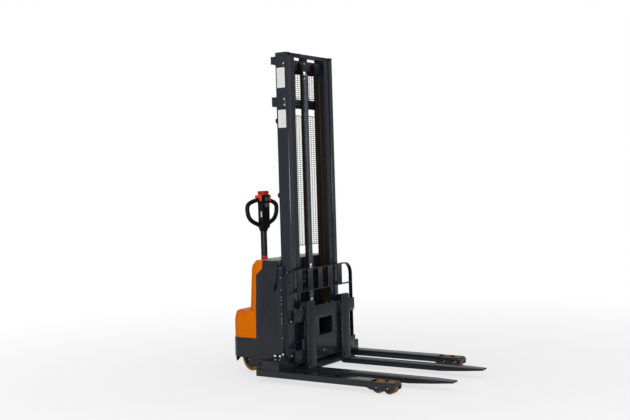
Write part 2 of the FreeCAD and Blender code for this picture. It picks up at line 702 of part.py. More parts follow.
def drive_wheel():
    x, y = DRIVE_X, DRIVE_Y
    tyre = cyl_y(DRIVE_R, x, y - DRIVE_W / 2, y + DRIVE_W / 2, DRIVE_R)
    rims = [e for e in tyre.Edges if len(e.Vertexes) == 1]
    tyre = tyre.makeChamfer(5.0, rims)
    dish = cyl_y(64.0, x, y - DRIVE_W / 2 - 1, y - DRIVE_W / 2 + 16, DRIVE_R)
    hub = cyl_y(42.0, x, y - DRIVE_W / 2 + 3, y, DRIVE_R)
    bore = cyl_y(DRIVE_AXLE_R + PIN_PLAY, x, y - 80, y + 80, DRIVE_R)
    return turned(tyre.cut(dish).fuse(hub).removeSplitter().cut(bore), x, y)


def caster_yoke():
    x, y = CASTER_X, CASTER_Y
    xw = x - CASTER_TRAIL
    half = CASTER_W / 2 + 5
    parts = [
        cyl_z(14.0, x, y, DECK[0] - 12, DECK[1] + 10),
        cyl_z(44.0, x, y, DECK[0] - 14, DECK[0] - 2),
        box(xw - 34, x + 40, y - half - 5, y + half + 5, 140.0, 148.0),
        cyl_z(38.0, x, y, 147.0, DECK[0] - 13),
    ]
    outline = [
        (xw - 18, CASTER_R - 14),
        (xw + 18, CASTER_R - 14),
        (x + 40, 141.0),
        (xw - 34, 141.0),
    ]
    for y0 in (y - half - 5, y + half):
        parts.append(side_prism(outline, y0, y0 + 5))
    parts.append(cyl_y(CASTER_AXLE_R, xw, y - half - 4, y + half + 4, CASTER_R))
    return fuse(parts)


def caster_wheel():
    x = CASTER_X - CASTER_TRAIL
    y = CASTER_Y
    wheel = cyl_y(CASTER_R, x, y - CASTER_W / 2, y + CASTER_W / 2, CASTER_R)
    rims = [e for e in wheel.Edges if len(e.Vertexes) == 1]
    wheel = wheel.makeChamfer(6.0, rims)
    return wheel.cut(cyl_y(CASTER_AXLE_R + PIN_PLAY, x, y - 60, y + 60, CASTER_R))


def steering_collar():
    collar = cyl_z(46.0, TILLER_X, 0, STEP_TOP + SEAT, STEP_TOP + 22)
    return collar.cut(cyl_z(20.0 + PIN_PLAY, TILLER_X, 0, STEP_TOP + 4, STEP_TOP + 30))


def tiller_base():
    x = TILLER_X
    stem = cyl_z(20.0, x, 0, STEP_TOP + 6, STEP_TOP + 26)
    disc = cyl_z(46.0, x, 0, STEP_TOP + 24, STEP_TOP + 38)
    parts = [stem, disc]
    for side in (-1, 1):
        y0 = side * 37.0
        ear = box(x - 26, x + 26, y0 - 6, y0 + 6, STEP_TOP + 37, TILLER_PIVOT_Z)
        knuckle = cyl_y(26.0, x, y0 - 6, y0 + 6, TILLER_PIVOT_Z)
        parts.append(ear)
        parts.append(knuckle)
    parts.append(cyl_y(10.0, x, -43.0, 43.0, TILLER_PIVOT_Z))
    return turned(fuse(parts), x, 0)


def tiller_arm():
    x = TILLER_X
    hub = cyl_y(23.0, x, -25.5, 25.5, TILLER_PIVOT_Z)
    shaft = cyl_z(SHAFT_R, x, 0, TILLER_PIVOT_Z, HEAD_FOOT)
    whole = fuse([hub, shaft]).cut(cyl_y(10.0 + PIN_PLAY, x, -40, 40, TILLER_PIVOT_Z))
    return turned(whole, x, 0)


# centre line of the grip loop: distance from the middle, height above the head's foot
LOOP = [
    (12.0, 22.0),
    (36.0, 36.0),
    (74.0, 52.0),
    (104.0, 72.0),
    (124.0, 100.0),
    (134.0, 138.0),
    (137.0, 176.0),
    (132.0, 192.0),
    (116.0, 204.0),
    (88.0, 213.0),
    (54.0, 219.0),
    (16.0, 222.0),
]


def grip_loop(x, side):
    """Twelve-sided tube that runs along the loop's centre line."""
    points = [V(x, side * y, HEAD_FOOT + z) for y, z in LOOP]
    start = points[1] - points[0]
    start.normalize()
    up = start.cross(V(1, 0, 0))
    ring = []
    for i in range(13):
        a = math.radians(30 * i)
        ring.append(points[0] + V(1, 0, 0) * (HANDLE_TUBE * math.cos(a)) + up * (HANDLE_TUBE * math.sin(a)))
    path = Part.Wire(Part.makePolygon(points))
    return path.makePipeShell([Part.makePolygon(ring)], True, False, 1)


def tiller_head():
    x = TILLER_X
    foot = Part.makeCone(27.0, 36.0, 42.0, V(x, 0, HEAD_FOOT - 2), V(0, 0, 1))
    core = box(x - 26, x + 26, -31, 31, HEAD_FOOT + 16, HEAD_TOP)
    ends = [e for e in core.Edges if abs(e.Vertexes[0].Point.z - e.Vertexes[1].Point.z) > 100]
    core = core.makeFillet(12.0, ends)
    parts = [foot.cut(cyl_z(SHAFT_R + 0.2, x, 0, HEAD_FOOT - 10, HEAD_FOOT + SEAT)), core]
    for side in (-1, 1):
        parts.append(grip_loop(x - 12, side))
    return turned(fuse(parts), x, 0)


def belly_button():
    x = TILLER_X
    cap = box(x - 36, x + 24, -30, 30, HEAD_TOP + SEAT, HEAD_TOP + 31)
    ends = [e for e in cap.Edges if abs(e.Vertexes[0].Point.z - e.Vertexes[1].Point.z) > 20]
    cap = cap.makeFillet(16.0, ends)
    tops = [e for e in cap.Edges if min(v.Point.z for v in e.Vertexes) > HEAD_TOP + 30]
    return turned(cap.makeChamfer(8.0, tops), x, 0)


def throttle(side):
    x = TILLER_X
    outline = [
        (x - 40, HEAD_TOP - 18),
        (x - 24, HEAD_TOP - 2),
        (x + 12, HEAD_TOP - 4),
        (x + 18, HEAD_TOP - 46),
        (x + 6, HEAD_TOP - 48),
        (x + 5, HEAD_TOP - 26),
        (x - 36, HEAD_TOP - 26),
    ]
    y0 = 31 + SEAT
    wing = side_prism(outline, y0, y0 + 22)
    wing = wing if side > 0 else mirror(wing)
    return turned(wing, x, 0)


def rocker_buttons():
    x = TILLER_X
    front = x + 26 + SEAT
    parts = []
    for z in (HEAD_TOP - 34, HEAD_TOP - 78):
        parts.append(box(front, front + 6, -20, 20, z - 14, z + 14))
    return turned(Part.makeCompound(parts), x, 0)


def spread(shape):
    shape = shape.copy()
    shape.translate(V(SHIFT_X, 0, 0))
    return shape


NODES = [
    ("chassis_frame", chassis()),
    ("leg_left", leg(1)),
    ("leg_right", leg(-1)),
    ("load_wheel_left_rear", load_wheel(1, LOAD_WHEEL_X[0])),
    ("load_wheel_left_front", load_wheel(1, LOAD_WHEEL_X[1])),
    ("load_wheel_right_rear", load_wheel(-1, LOAD_WHEEL_X[0])),
    ("load_wheel_right_front", load_wheel(-1, LOAD_WHEEL_X[1])),
    ("mast_bracket_left", mast_bracket(1)),
    ("mast_bracket_right", mast_bracket(-1)),
    ("outer_mast", outer_mast()),
    ("inner_mast", inner_mast()),
    ("sheave_left", sheave(1)),
    ("sheave_right", sheave(-1)),
    ("cylinder_barrel", cylinder_barrel()),
    ("piston_rod", piston_rod()),
    ("front_chain_left", front_chain(1)),
    ("front_chain_right", front_chain(-1)),
    ("rear_chain_left", rear_chain(1)),
    ("rear_chain_right", rear_chain(-1)),
    ("mesh_guard", mesh_guard()),
    ("carriage", carriage()),
    ("fork_left", fork(1)),
    ("fork_right", fork(-1)),
    ("load_backrest", load_backrest()),
    ("battery", battery()),
    ("body_cover", body_cover()),
    ("rear_cover", rear_cover()),
    ("top_panel", top_panel()),
    ("emergency_stop", emergency_stop()),
    ("key_switch", key_switch()),
    ("charge_gauge", charge_gauge()),
    ("drive_yoke", drive_yoke()),
    ("drive_wheel", drive_wheel()),
    ("caster_yoke", caster_yoke()),
    ("caster_wheel", caster_wheel()),
    ("steering_collar", steering_collar()),
    ("tiller_base", tiller_base()),
    ("tiller_arm", tiller_arm()),
    ("tiller_head", tiller_head()),
    ("belly_button", belly_button()),
    ("throttle_left", throttle(1)),
    ("throttle_right", throttle(-1)),
    ("rocker_buttons", rocker_buttons()),
]

os.makedirs("parts", exist_ok=True)
for name, shape in NODES:
    spread(shape).exportStep("parts/" + name + ".step")
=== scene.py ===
import bmesh
import bpy
import math
from mathutils import Matrix, Vector


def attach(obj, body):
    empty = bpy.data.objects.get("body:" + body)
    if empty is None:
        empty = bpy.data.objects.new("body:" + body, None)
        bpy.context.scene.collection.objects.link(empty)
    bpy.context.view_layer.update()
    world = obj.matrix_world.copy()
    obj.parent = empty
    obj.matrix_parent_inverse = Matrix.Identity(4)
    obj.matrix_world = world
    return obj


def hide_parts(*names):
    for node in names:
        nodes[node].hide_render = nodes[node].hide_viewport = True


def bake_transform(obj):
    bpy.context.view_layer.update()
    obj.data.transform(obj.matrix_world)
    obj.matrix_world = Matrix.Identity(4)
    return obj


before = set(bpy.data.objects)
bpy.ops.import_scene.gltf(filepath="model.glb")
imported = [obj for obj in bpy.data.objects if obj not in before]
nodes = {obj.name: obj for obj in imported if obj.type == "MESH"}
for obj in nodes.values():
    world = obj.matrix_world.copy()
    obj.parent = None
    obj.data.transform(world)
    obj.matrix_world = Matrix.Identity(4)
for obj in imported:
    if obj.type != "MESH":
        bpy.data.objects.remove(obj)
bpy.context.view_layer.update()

# Studio: a pale floor, a white surround and soft lamps.
# The photograph's camera stands 1.39 m high, off the machine's front right corner.
# Everything here is stage and none of it belongs to the machine.


def linear(code):
    """Linear RGBA of an sRGB hex colour."""
    parts = [int(code[i:i + 2], 16) / 255 for i in (1, 3, 5)]
    return [c / 12.92 if c <= 0.04045 else ((c + 0.055) / 1.055) ** 2.4 for c in parts] + [1.0]


def add(tree, kind, settings=None, links=None):
    """Adds a node, sets its properties or sockets, and links its inputs."""
    node = tree.nodes.new(kind)
    for key, value in (settings or {}).items():
        if isinstance(key, str) and hasattr(node, key):
            setattr(node, key, value)
        else:
            node.inputs[key].default_value = value
    for key, source in (links or {}).items():
        tree.links.new(source, node.inputs[key])
    return node


world = bpy.data.worlds.new("white_surround")
bpy.context.scene.world = world
world.use_nodes = True
tree = world.node_tree
tree.nodes.clear()
path = add(tree, "ShaderNodeLightPath")
glow = add(tree, "ShaderNodeBackground", {"Color": (1, 1, 1, 1), "Strength": 0.45})
white = add(tree, "ShaderNodeBackground", {"Color": (1, 1, 1, 1), "Strength": 1.0})
both = add(tree, "ShaderNodeMixShader", None,
           {0: path.outputs["Is Camera Ray"], 1: glow.outputs[0], 2: white.outputs[0]})
add(tree, "ShaderNodeOutputWorld", None, {"Surface": both.outputs[0]})

bpy.ops.object.select_all(action="DESELECT")
bpy.ops.mesh.primitive_circle_add(vertices=96, radius=60, fill_type="NGON", location=(0, 0, 0))
floor = bpy.context.object
floor.name = "floor"
paint = bpy.data.materials.new("matt_white_floor_paint")
paint.use_nodes = True
tree = paint.node_tree
tree.nodes.clear()
# the floor turns to plain white with its distance, so that it meets the surround with no line
path = add(tree, "ShaderNodeLightPath")
spot = add(tree, "ShaderNodeTexCoord")
away = add(tree, "ShaderNodeVectorMath", {"operation": "LENGTH"}, {0: spot.outputs["Object"]})
lit = add(tree, "ShaderNodeMapRange", {"From Min": 1.0, "From Max": 4.5, "To Min": 0.66, "To Max": 1.0},
          {"Value": away.outputs["Value"]})
share = add(tree, "ShaderNodeMath", {"operation": "MULTIPLY"}, {0: path.outputs["Is Camera Ray"], 1: lit.outputs[0]})
matt = add(tree, "ShaderNodeBsdfDiffuse", {"Color": linear("#eeeeee")})
white = add(tree, "ShaderNodeEmission", {"Color": (1, 1, 1, 1), "Strength": 1.0})
both = add(tree, "ShaderNodeMixShader", None, {0: share.outputs[0], 1: matt.outputs[0], 2: white.outputs[0]})
add(tree, "ShaderNodeOutputMaterial", None, {"Surface": both.outputs[0]})
floor.data.materials.append(paint)

# each lamp: name, place, aimed at, side length in metres, watts
lamps = [
    ("side_softbox", (1.5, -6.3, 1.7), (-0.4, 0.0, 1.0), 1.2, 120),
    ("front_softbox", (5.2, -3.0, 1.8), (-0.2, 0.0, 1.0), 1.8, 48),
    ("fill_softbox", (4.3, -7.1, 1.9), (-0.3, 0.0, 0.8), 2.4, 150),
    ("rear_softbox", (-4.6, 3.4, 3.0), (-0.3, 0.0, 1.0), 3.0, 60),
    ("overhead_softbox", (0.2, 0.2, 5.4), (0.0, 0.0, 0.5), 3.4, 16),
]
for name, place, aim, side, watts in lamps:
    lamp = bpy.data.lights.new(name, "AREA")
    lamp.shape = "SQUARE"
    lamp.size = side
    lamp.energy = watts
    holder = bpy.data.objects.new(name, lamp)
    bpy.context.scene.collection.objects.link(holder)
    holder.location = place
    holder.rotation_euler = (Vector(aim) - Vector(place)).to_track_quat("-Z", "Y").to_euler()
    holder.visible_camera = False

turn = math.radians(33.1976)
dip = math.radians(1.7972)
roll = math.radians(-1.6754)
ahead = Vector((-math.sin(turn) * math.cos(dip), math.cos(turn) * math.cos(dip), -math.sin(dip)))
level = Vector((math.cos(turn), math.sin(turn), 0))
upward = level.cross(ahead)
right = math.cos(roll) * level + math.sin(roll) * upward
upright = -math.sin(roll) * level + math.cos(roll) * upward
lens = bpy.data.cameras.new("photograph_view")
lens.sensor_width = 36.0
lens.lens = 57.568
camera = bpy.data.objects.new("photograph_view", lens)
bpy.context.scene.collection.objects.link(camera)
pose = Matrix((right, upright, -ahead)).transposed().to_4x4()
pose.translation = Vector((3.6636, -6.0866, 1.3875))
camera.matrix_world = pose
bpy.context.scene.camera = camera
bpy.context.scene.view_settings.view_transform = "Standard"

# Straddle legs: folded and welded steel beams with plate cheeks for the load wheels.
# They are painted in the machine's dark grey enamel, glossy enough to mirror the surround.
# Edges are broken with a file before painting; dust dulls the paint near the floor.


def new_finish(name):
    """An empty principled material, its tree and its shader."""
    material = bpy.data.materials.new(name)
    material.use_nodes = True
    tree = material.node_tree
    tree.nodes.clear()
    shader = add(tree, "ShaderNodeBsdfPrincipled")
    add(tree, "ShaderNodeOutputMaterial", None, {"Surface": shader.outputs[0]})
    return material, tree, shader


def mottled(tree, colour, shade, scale, detail):
    """Two close tones that drift into each other, and the object's coordinates that they follow."""
    place = add(tree, "ShaderNodeTexCoord")
    drift = add(tree, "ShaderNodeTexNoise", {"Scale": scale, "Detail": detail}, {"Vector": place.outputs["Object"]})
    tone = add(tree, "ShaderNodeMix", {"data_type": "RGBA", 6: linear(colour), 7: linear(shade)},
               {0: drift.outputs["Fac"]})
    return place, tone


def orange_peel(tree, shader, place, scale, level):
    """The fine ripple and the gloss of sprayed enamel."""
    peel = add(tree, "ShaderNodeTexNoise", {"Scale": scale, "Detail": 2.0}, {"Vector": place.outputs["Object"]})
    bump = add(tree, "ShaderNodeBump", {"Strength": 0.08, "Distance": 0.0002}, {"Height": peel.outputs["Fac"]})
    tree.links.new(bump.outputs[0], shader.inputs["Normal"])
    shader.inputs["IOR"].default_value = 1.5
    shader.inputs["Specular IOR Level"].default_value = level


def sprayed_enamel(name, colour, shade, gloss, dull, peel_mm, level):
    """Sprayed enamel on steel: slow colour drift, dust low down, orange peel, uneven gloss."""
    material, tree, shader = new_finish(name)
    place, tone = mottled(tree, colour, shade, 5.0, 3.0)
    parts = add(tree, "ShaderNodeSeparateXYZ", None, {0: place.outputs["Object"]})
    low = add(tree, "ShaderNodeMapRange", {"From Min": 0.02, "From Max": 0.45, "To Min": 0.03, "To Max": 0.0},
              {"Value": parts.outputs["Z"]})
    speck = add(tree, "ShaderNodeTexNoise", {"Scale": 90.0, "Detail": 5.0}, {"Vector": place.outputs["Object"]})
    dusty = add(tree, "ShaderNodeMath", {"operation": "MULTIPLY"}, {0: low.outputs[0], 1: speck.outputs["Fac"]})
    tone = add(tree, "ShaderNodeMix", {"data_type": "RGBA", 7: linear("#8f8a80")},
               {0: dusty.outputs[0], 6: tone.outputs[2]})
    tree.links.new(tone.outputs[2], shader.inputs["Base Color"])
    smear = add(tree, "ShaderNodeTexNoise", {"Scale": 34.0, "Detail": 4.0}, {"Vector": place.outputs["Object"]})
    rough = add(tree, "ShaderNodeMapRange", {"From Min": 0.35, "From Max": 0.65, "To Min": gloss, "To Max": dull},
                {"Value": smear.outputs["Fac"]})
    tree.links.new(rough.outputs[0], shader.inputs["Roughness"])
    orange_peel(tree, shader, place, 1000.0 / peel_mm, level)
    return material


def alone(piece):
    """Makes one object the only selected one."""
    bpy.ops.object.select_all(action="DESELECT")
    piece.select_set(True)
    bpy.context.view_layer.objects.active = piece


def fit(piece, body, material):
    """Settles a piece's place in its mesh, gives it its finish and fixes it to what carries it."""
    alone(piece)
    bpy.ops.object.transform_apply(location=True, rotation=True, scale=True)
    piece.data.materials.clear()
    piece.data.materials.append(material)
    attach(piece, body)
    return piece


def joined_flats(node, name):
    """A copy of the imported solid, open in edit mode with its triangles joined into flats."""
    piece = bpy.data.objects.new(name, nodes[node].data.copy())
    bpy.context.scene.collection.objects.link(piece)
    alone(piece)
    bpy.ops.object.mode_set(mode="EDIT")
    bpy.ops.mesh.select_all(action="SELECT")
    bpy.ops.mesh.remove_doubles(threshold=0.00001)
    bpy.ops.mesh.dissolve_limited(angle_limit=math.radians(0.6))
    return piece


def filed_copy(node, edge, body, material, angle=35.0):
    """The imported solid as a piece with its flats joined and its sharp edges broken."""
    piece = joined_flats(node, node + "_shell")
    bpy.ops.object.mode_set(mode="OBJECT")
    bpy.ops.object.shade_smooth()
    bevel = piece.modifiers.new("broken_edges", "BEVEL")
    bevel.width = edge
    bevel.segments = 2
    bevel.limit_method = "ANGLE"
    bevel.angle_limit = math.radians(angle)
    bevel.harden_normals = True
    bevel.use_clamp_overlap = False
    bpy.ops.object.modifier_apply(modifier=bevel.name)
    fit(piece, body, material)
    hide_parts(node)
    return piece


# near black blue paint, smooth enough to mirror the surround
leg_enamel = sprayed_enamel("glossy_dark_grey_enamel", "#141921", "#13171f", 0.12, 0.17, 3.0, 0.5)
for node in ("leg_left", "leg_right"):
    filed_copy(node, 0.0015, "chassis", leg_enamel)
# the same paint with a weaker reflection
fork_enamel = sprayed_enamel("smooth_fork_enamel", "#11151c", "#0f1319", 0.12, 0.18, 3.0, 0.32)
for node in ("fork_left", "fork_right"):
    filed_copy(node, 0.0012, "fork_carriage", fork_enamel)

# Load wheels: amber polyurethane cast on steel cores, two in tandem in each leg's end.
# The tread is worn smooth by the floor, and the slightly waxy resin lets light spread in it.
# Each turns on a steel axle with a pressed ball bearing at either side.


def drawn_line(name, places):
    """Opens edit mode on a line that is drawn point by point."""
    bpy.ops.object.select_all(action="DESELECT")
    bpy.ops.mesh.primitive_plane_add(size=0.001, location=(0, 0, 0))
    piece = bpy.context.object
    piece.name = name
    bpy.ops.object.mode_set(mode="EDIT")
    bpy.ops.mesh.select_mode(type="VERT")
    bpy.ops.mesh.select_all(action="SELECT")
    bpy.ops.mesh.merge(type="CENTER")
    bpy.ops.mesh.select_all(action="SELECT")
    bpy.ops.transform.translate(value=places[0])
    for start, end in zip(places, places[1:]):
        bpy.ops.mesh.extrude_region_move(TRANSFORM_OT_translate={"value": end - start})
    bpy.ops.mesh.select_all(action="SELECT")
    return piece


def on_lathe(name, points, centre, axis, steps=64):
    """Draws a half section point by point, as radius and height, and spins it round the axis."""
    axis = Vector(axis).normalized()
    side = axis.orthogonal().normalized()
    piece = drawn_line(name, [Vector(centre) + side * r + axis * h for r, h in points])
    bpy.ops.mesh.spin(steps=steps, angle=math.tau, center=centre, axis=axis)
    bpy.ops.mesh.select_all(action="SELECT")
    bpy.ops.mesh.remove_doubles(threshold=0.000005)
    bpy.ops.mesh.normals_make_consistent(inside=False)
    bpy.ops.object.mode_set(mode="OBJECT")
    bpy.ops.object.shade_smooth_by_angle(angle=math.radians(38))
    return piece


def grained(name, colour, shade, cloud, grain, gloss, dull, strength, depth):
    """Two close tones under a fine grain that breaks up the gloss; cloud and grain are scale and detail."""
    material, tree, shader = new_finish(name)
    place, tone = mottled(tree, colour, shade, *cloud)
    tree.links.new(tone.outputs[2], shader.inputs["Base Color"])
    pits = add(tree, "ShaderNodeTexNoise", {"Scale": grain[0], "Detail": grain[1]},
               {"Vector": place.outputs["Object"]})
    rough = add(tree, "ShaderNodeMapRange", {"To Min": gloss, "To Max": dull}, {"Value": pits.outputs["Fac"]})
    tree.links.new(rough.outputs[0], shader.inputs["Roughness"])
    bump = add(tree, "ShaderNodeBump", {"Strength": strength, "Distance": depth}, {"Height": pits.outputs["Fac"]})
    tree.links.new(bump.outputs[0], shader.inputs["Normal"])
    return material, shader


def cast_resin(name, colour, shade, gloss):
    """Cast polyurethane: cloudy amber with fine scuffs that break up its gloss."""
    material, shader = grained(name, colour, shade, (60.0, 3.0), (240.0, 4.0), gloss, gloss + 0.25, 0.2, 0.0003)
    shader.inputs["IOR"].default_value = 1.5
    shader.inputs["Specular IOR Level"].default_value = 0.3
    return material


def bare_metal(name, colour, shade, gloss, dull, grain_mm):
    """Bare or plated metal: cloudy tone and fine uneven gloss, with the default index."""
    material, shader = grained(name, colour, shade, (45.0, 4.0), (1000.0 / grain_mm, 3.0), gloss, dull, 0.1, 0.0002)
    shader.inputs["Metallic"].default_value = 1.0
    return material


across = (0, 1, 0)
# warm amber, slightly cloudy, with a soft scuffed gloss
resin = cast_resin("amber_cast_polyurethane", "#8a5f06", "#6d4a05", 0.3)
# turned steel, plain grey with blurred reflections
core_steel = bare_metal("machined_steel", "#8c8b88", "#6f6e6b", 0.3, 0.5, 1.5)
wheel_r = 0.0405
for name, x, y in (("left_rear", 0.46, 0.489), ("left_front", 0.543, 0.489),
                   ("right_rear", 0.46, -0.489), ("right_front", 0.543, -0.489)):
    tread = on_lathe("tread_" + name, [
        (0.0190, -0.031), (0.0365, -0.031), (0.0392, -0.0299), (wheel_r, -0.0275), (wheel_r, 0.0275),
        (0.0392, 0.0299), (0.0365, 0.031), (0.0190, 0.031), (0.0190, -0.031)],
        (x, y, wheel_r), across, 72)
    fit(tread, "roller_" + name, resin)
    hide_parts("load_wheel_" + name)
    core = on_lathe("wheel_core_" + name, [
        (0.0102, -0.0305), (0.0145, -0.0305), (0.0150, -0.0290), (0.0175, -0.0290), (0.0189, -0.0305),
        (0.0189, 0.0305), (0.0175, 0.0290), (0.0150, 0.0290), (0.0145, 0.0305), (0.0102, 0.0305),
        (0.0102, -0.0305)], (x, y, wheel_r), across, 40)
    fit(core, "roller_" + name, core_steel)

# Chassis: a base plate between the legs, a bulkhead, the deck over the rear wheels and saddles on the legs.
# All are flame cut plate, welded, ground and sprayed semi-gloss blue grey with the mast.
# blue grey paint with a softer gloss than the legs
enamel = sprayed_enamel("semi_gloss_blue_grey_enamel", "#181d27", "#161b24", 0.2, 0.26, 4.0, 0.42)
filed_copy("chassis_frame", 0.0015, "chassis", enamel)
for node in ("mast_bracket_left", "mast_bracket_right"):
    filed_copy(node, 0.001, "chassis", enamel)

# Fasteners: zinc plated hexagon bolts on washers, bright against the dark paint.
# They hold the mast's ears, its foot brackets, the sills and the backrest's lugs.


def joined(pieces, name, lead=0):
    """Joins pieces into the leading one and names it."""
    bpy.ops.object.select_all(action="DESELECT")
    for one in pieces:
        one.select_set(True)
    bpy.context.view_layer.objects.active = pieces[lead]
    if len(pieces) > 1:
        bpy.ops.object.join()
    pieces[lead].name = name
    return pieces[lead]


def one_copy(template, name, where):
    """A copy of the template with a mesh of its own, moved by a matrix."""
    one = bpy.data.objects.new(name, template.data.copy())
    bpy.context.scene.collection.objects.link(one)
    one.data.transform(where)
    return one


def placed_copies(template, name, spots):
    """One piece made of copies of the template, each set at a place and facing a direction."""
    return joined([one_copy(template, name, Matrix.Translation(place)
                            @ Vector(toward).to_track_quat("Z", "Y").to_matrix().to_4x4())
                   for place, toward in spots], name)


def pick_faces(piece, wanted):
    """Opens edit mode with only the wanted faces selected."""
    alone(piece)
    bpy.ops.object.mode_set(mode="EDIT")
    bpy.ops.mesh.select_mode(type="FACE")
    bpy.ops.mesh.select_all(action="DESELECT")
    shape = bmesh.from_edit_mesh(piece.data)
    for face in shape.faces:
        face.select_set(wanted(face))
    bmesh.update_edit_mesh(piece.data)


def hexagon_bolt(radius):
    """A bolt head on its washer, standing on the origin and facing up."""
    bpy.ops.object.select_all(action="DESELECT")
    bpy.ops.mesh.primitive_cylinder_add(vertices=24, radius=radius * 1.45, depth=radius * 0.3,
                                        location=(0, 0, radius * 0.15))
    washer = bpy.context.object
    pick_faces(washer, lambda face: face.normal.z > 0.9)
    bpy.ops.mesh.inset(thickness=radius * 0.08)
    bpy.ops.transform.translate(value=(0, 0, radius * 0.05))
    bpy.ops.object.mode_set(mode="OBJECT")
    bpy.ops.object.select_all(action="DESELECT")
    bpy.ops.mesh.primitive_cylinder_add(vertices=6, radius=radius, depth=radius * 0.75,
                                        location=(0, 0, radius * 0.67))
    head = bpy.context.object
    pick_faces(head, lambda face: face.normal.z > 0.9)
    bpy.ops.mesh.inset(thickness=radius * 0.12)
    bpy.ops.transform.translate(value=(0, 0, radius * 0.08))
    bpy.ops.mesh.inset(thickness=radius * 0.3)
    bpy.ops.transform.translate(value=(0, 0, -radius * 0.04))
    bpy.ops.object.mode_set(mode="OBJECT")
    washer.select_set(True)
    bpy.context.view_layer.objects.active = head
    bpy.ops.object.join()
    bpy.ops.object.transform_apply(location=True, rotation=True, scale=True)
    return head


# pale, bright specks against the dark paint
zinc = bare_metal("zinc_plated_steel", "#c9cbc8", "#a9aba6", 0.22, 0.4, 0.8)
up = (0, 0, 1)
big_bolt = hexagon_bolt(0.0105)
small_bolt = hexagon_bolt(0.0058)
fit(placed_copies(big_bolt, "foot_bolts", [
    ((x, side * y, 0.156), up) for side in (-1, 1)
    for x, y in ((-0.418, 0.408), (-0.376, 0.408), (-0.400, 0.338), (-0.364, 0.338))]), "chassis", zinc)
fit(placed_copies(small_bolt, "sill_bolts", [
    ((x, side * y, z), (0, side, 0)) for x, y, z in ((-0.481, 0.325, 0.136), (-0.482, 0.3204, 0.087))
    for side in (-1, 1)]), "chassis", zinc)

# Wheel brackets: laser cut cheek plates welded over the legs' ends, with the axles' ends showing.
# A ring of paint is left round each axle, with a near black disc inside it as painted shade for the groove there;
# its end is bare, and a weld bead runs up the plates' rear edge.


def rounded(piece, width, segments, angle=None):
    """Rounds a piece's sharp edges, past 30 degrees or the angle given."""
    alone(piece)
    bevel = piece.modifiers.new("rounded_edge", "BEVEL")
    bevel.width = width
    bevel.segments = segments
    bevel.limit_method = "ANGLE"
    if angle:
        bevel.angle_limit = math.radians(angle)
    bpy.ops.object.modifier_apply(modifier=bevel.name)


def cut_plate(name, outline, depth, edge, segments=2):
    """Cuts a flat plate: draws its outline, fills it, gives it depth and breaks its edges."""
    places = [Vector(point) for point in outline]
    piece = drawn_line(name, places + places[:1])
    bpy.ops.mesh.remove_doubles(threshold=0.00001)
    bpy.ops.mesh.edge_face_add()
    bpy.ops.mesh.extrude_region_move(TRANSFORM_OT_translate={"value": Vector(depth)})
    bpy.ops.mesh.select_all(action="SELECT")
    bpy.ops.mesh.normals_make_consistent(inside=False)
    bpy.ops.object.mode_set(mode="OBJECT")
    if edge:
        rounded(piece, edge, segments)
    bpy.ops.object.shade_smooth_by_angle(angle=math.radians(40))
    return piece


lobes = []
for centre_x in (0.460, 0.543):
    for step in range(7):
        angle = math.radians(-152 + step * 124 / 6)
        lobes.append((centre_x + 0.030 * math.cos(angle), 0.0405 + 0.030 * math.sin(angle)))
cheek_line = [(0.398, 0.076), (0.398, 0.034), (0.406, 0.0265)] + lobes + [
    (0.586, 0.0265), (0.5915, 0.036), (0.5915, 0.060), (0.579, 0.0755)]
axle_ring = on_lathe("axle_ring", [
    (0.0, 0.0), (0.0185, 0.0), (0.0185, 0.0008), (0.0172, 0.0018), (0.0125, 0.0018), (0.0118, 0.0004),
    (0.0, 0.0004)], (0, 0, 0), up, 36)
# a thin disc that fills the paint ring: painted shade for the shadow in the groove round the axle
axle_groove_shade = on_lathe("axle_groove_shade", [
    (0.0, 0.0), (0.0126, 0.0), (0.0122, 0.0010), (0.0, 0.0010)], (0, 0, 0), up, 32)
axle_end = on_lathe("axle_end", [
    (0.0, 0.0), (0.0058, 0.0), (0.0058, 0.0014), (0.0048, 0.0022), (0.0, 0.0022)], (0, 0, 0), up, 28)
# near black dull metal for the discs inside the paint rings: painted shade that stands in for the shadowed groove
# round each axle's end
groove_shade_steel = bare_metal("painted_groove_shade_steel", "#1b1c1f", "#141517", 0.3, 0.45, 0.8)
bpy.ops.object.select_all(action="DESELECT")
bpy.ops.mesh.primitive_uv_sphere_add(segments=10, ring_count=6, radius=0.0042)
ripple = bpy.context.object
ripple.name = "weld_ripple"
bpy.ops.object.mode_set(mode="EDIT")
bpy.ops.mesh.select_all(action="SELECT")
bpy.ops.transform.resize(value=(1, 1, 0.5), center_override=(0, 0, 0))
bpy.ops.object.mode_set(mode="OBJECT")
bpy.ops.object.shade_smooth()
rings, ends, beads = [], [], []
for side in (-1, 1):
    for face, way in ((0.5375, 1), (0.4405, -1)):
        y = side * face
        toward = (0, side * way, 0)
        cheek = cut_plate("cheek_plate", [(x, y - side * way * 0.006, z) for x, z in cheek_line],
                          (0, side * way * 0.0072, 0), 0.0005)
        fit(cheek, "chassis", leg_enamel)
        for x in (0.460, 0.543):
            rings.append(((x, y + side * way * 0.0012, 0.0405), toward))
            ends.append(((x, y + side * way * 0.0014, 0.0405), toward))
        for step in range(11):
            beads.append(((0.398, y - side * way * 0.0024, 0.036 + step * 0.0036), up))
for template, name, spots, slot, finish in (
        (axle_ring, "axle_rings", rings, "leg_paint", leg_enamel),
        (axle_groove_shade, "axle_groove_shades", rings, "zinc_steel", groove_shade_steel),
        (axle_end, "axle_ends", ends, "zinc_steel", zinc),
        (ripple, "cheek_welds", beads, "leg_paint", leg_enamel)):
    fit(placed_copies(template, name, spots), "chassis", finish)
    bpy.data.objects.remove(template)

# Foot bar: a flat steel bar across the machine between the legs, just ahead of the mast's foot.
# It is welded at both ends and sprayed with the chassis.
bar = cut_plate("foot_bar", [(-0.303, -0.438, 0.028), (-0.281, -0.438, 0.028), (-0.281, -0.438, 0.062),
                             (-0.303, -0.438, 0.062)], (0, 0.876, 0), 0.002)
fit(bar, "chassis", enamel)

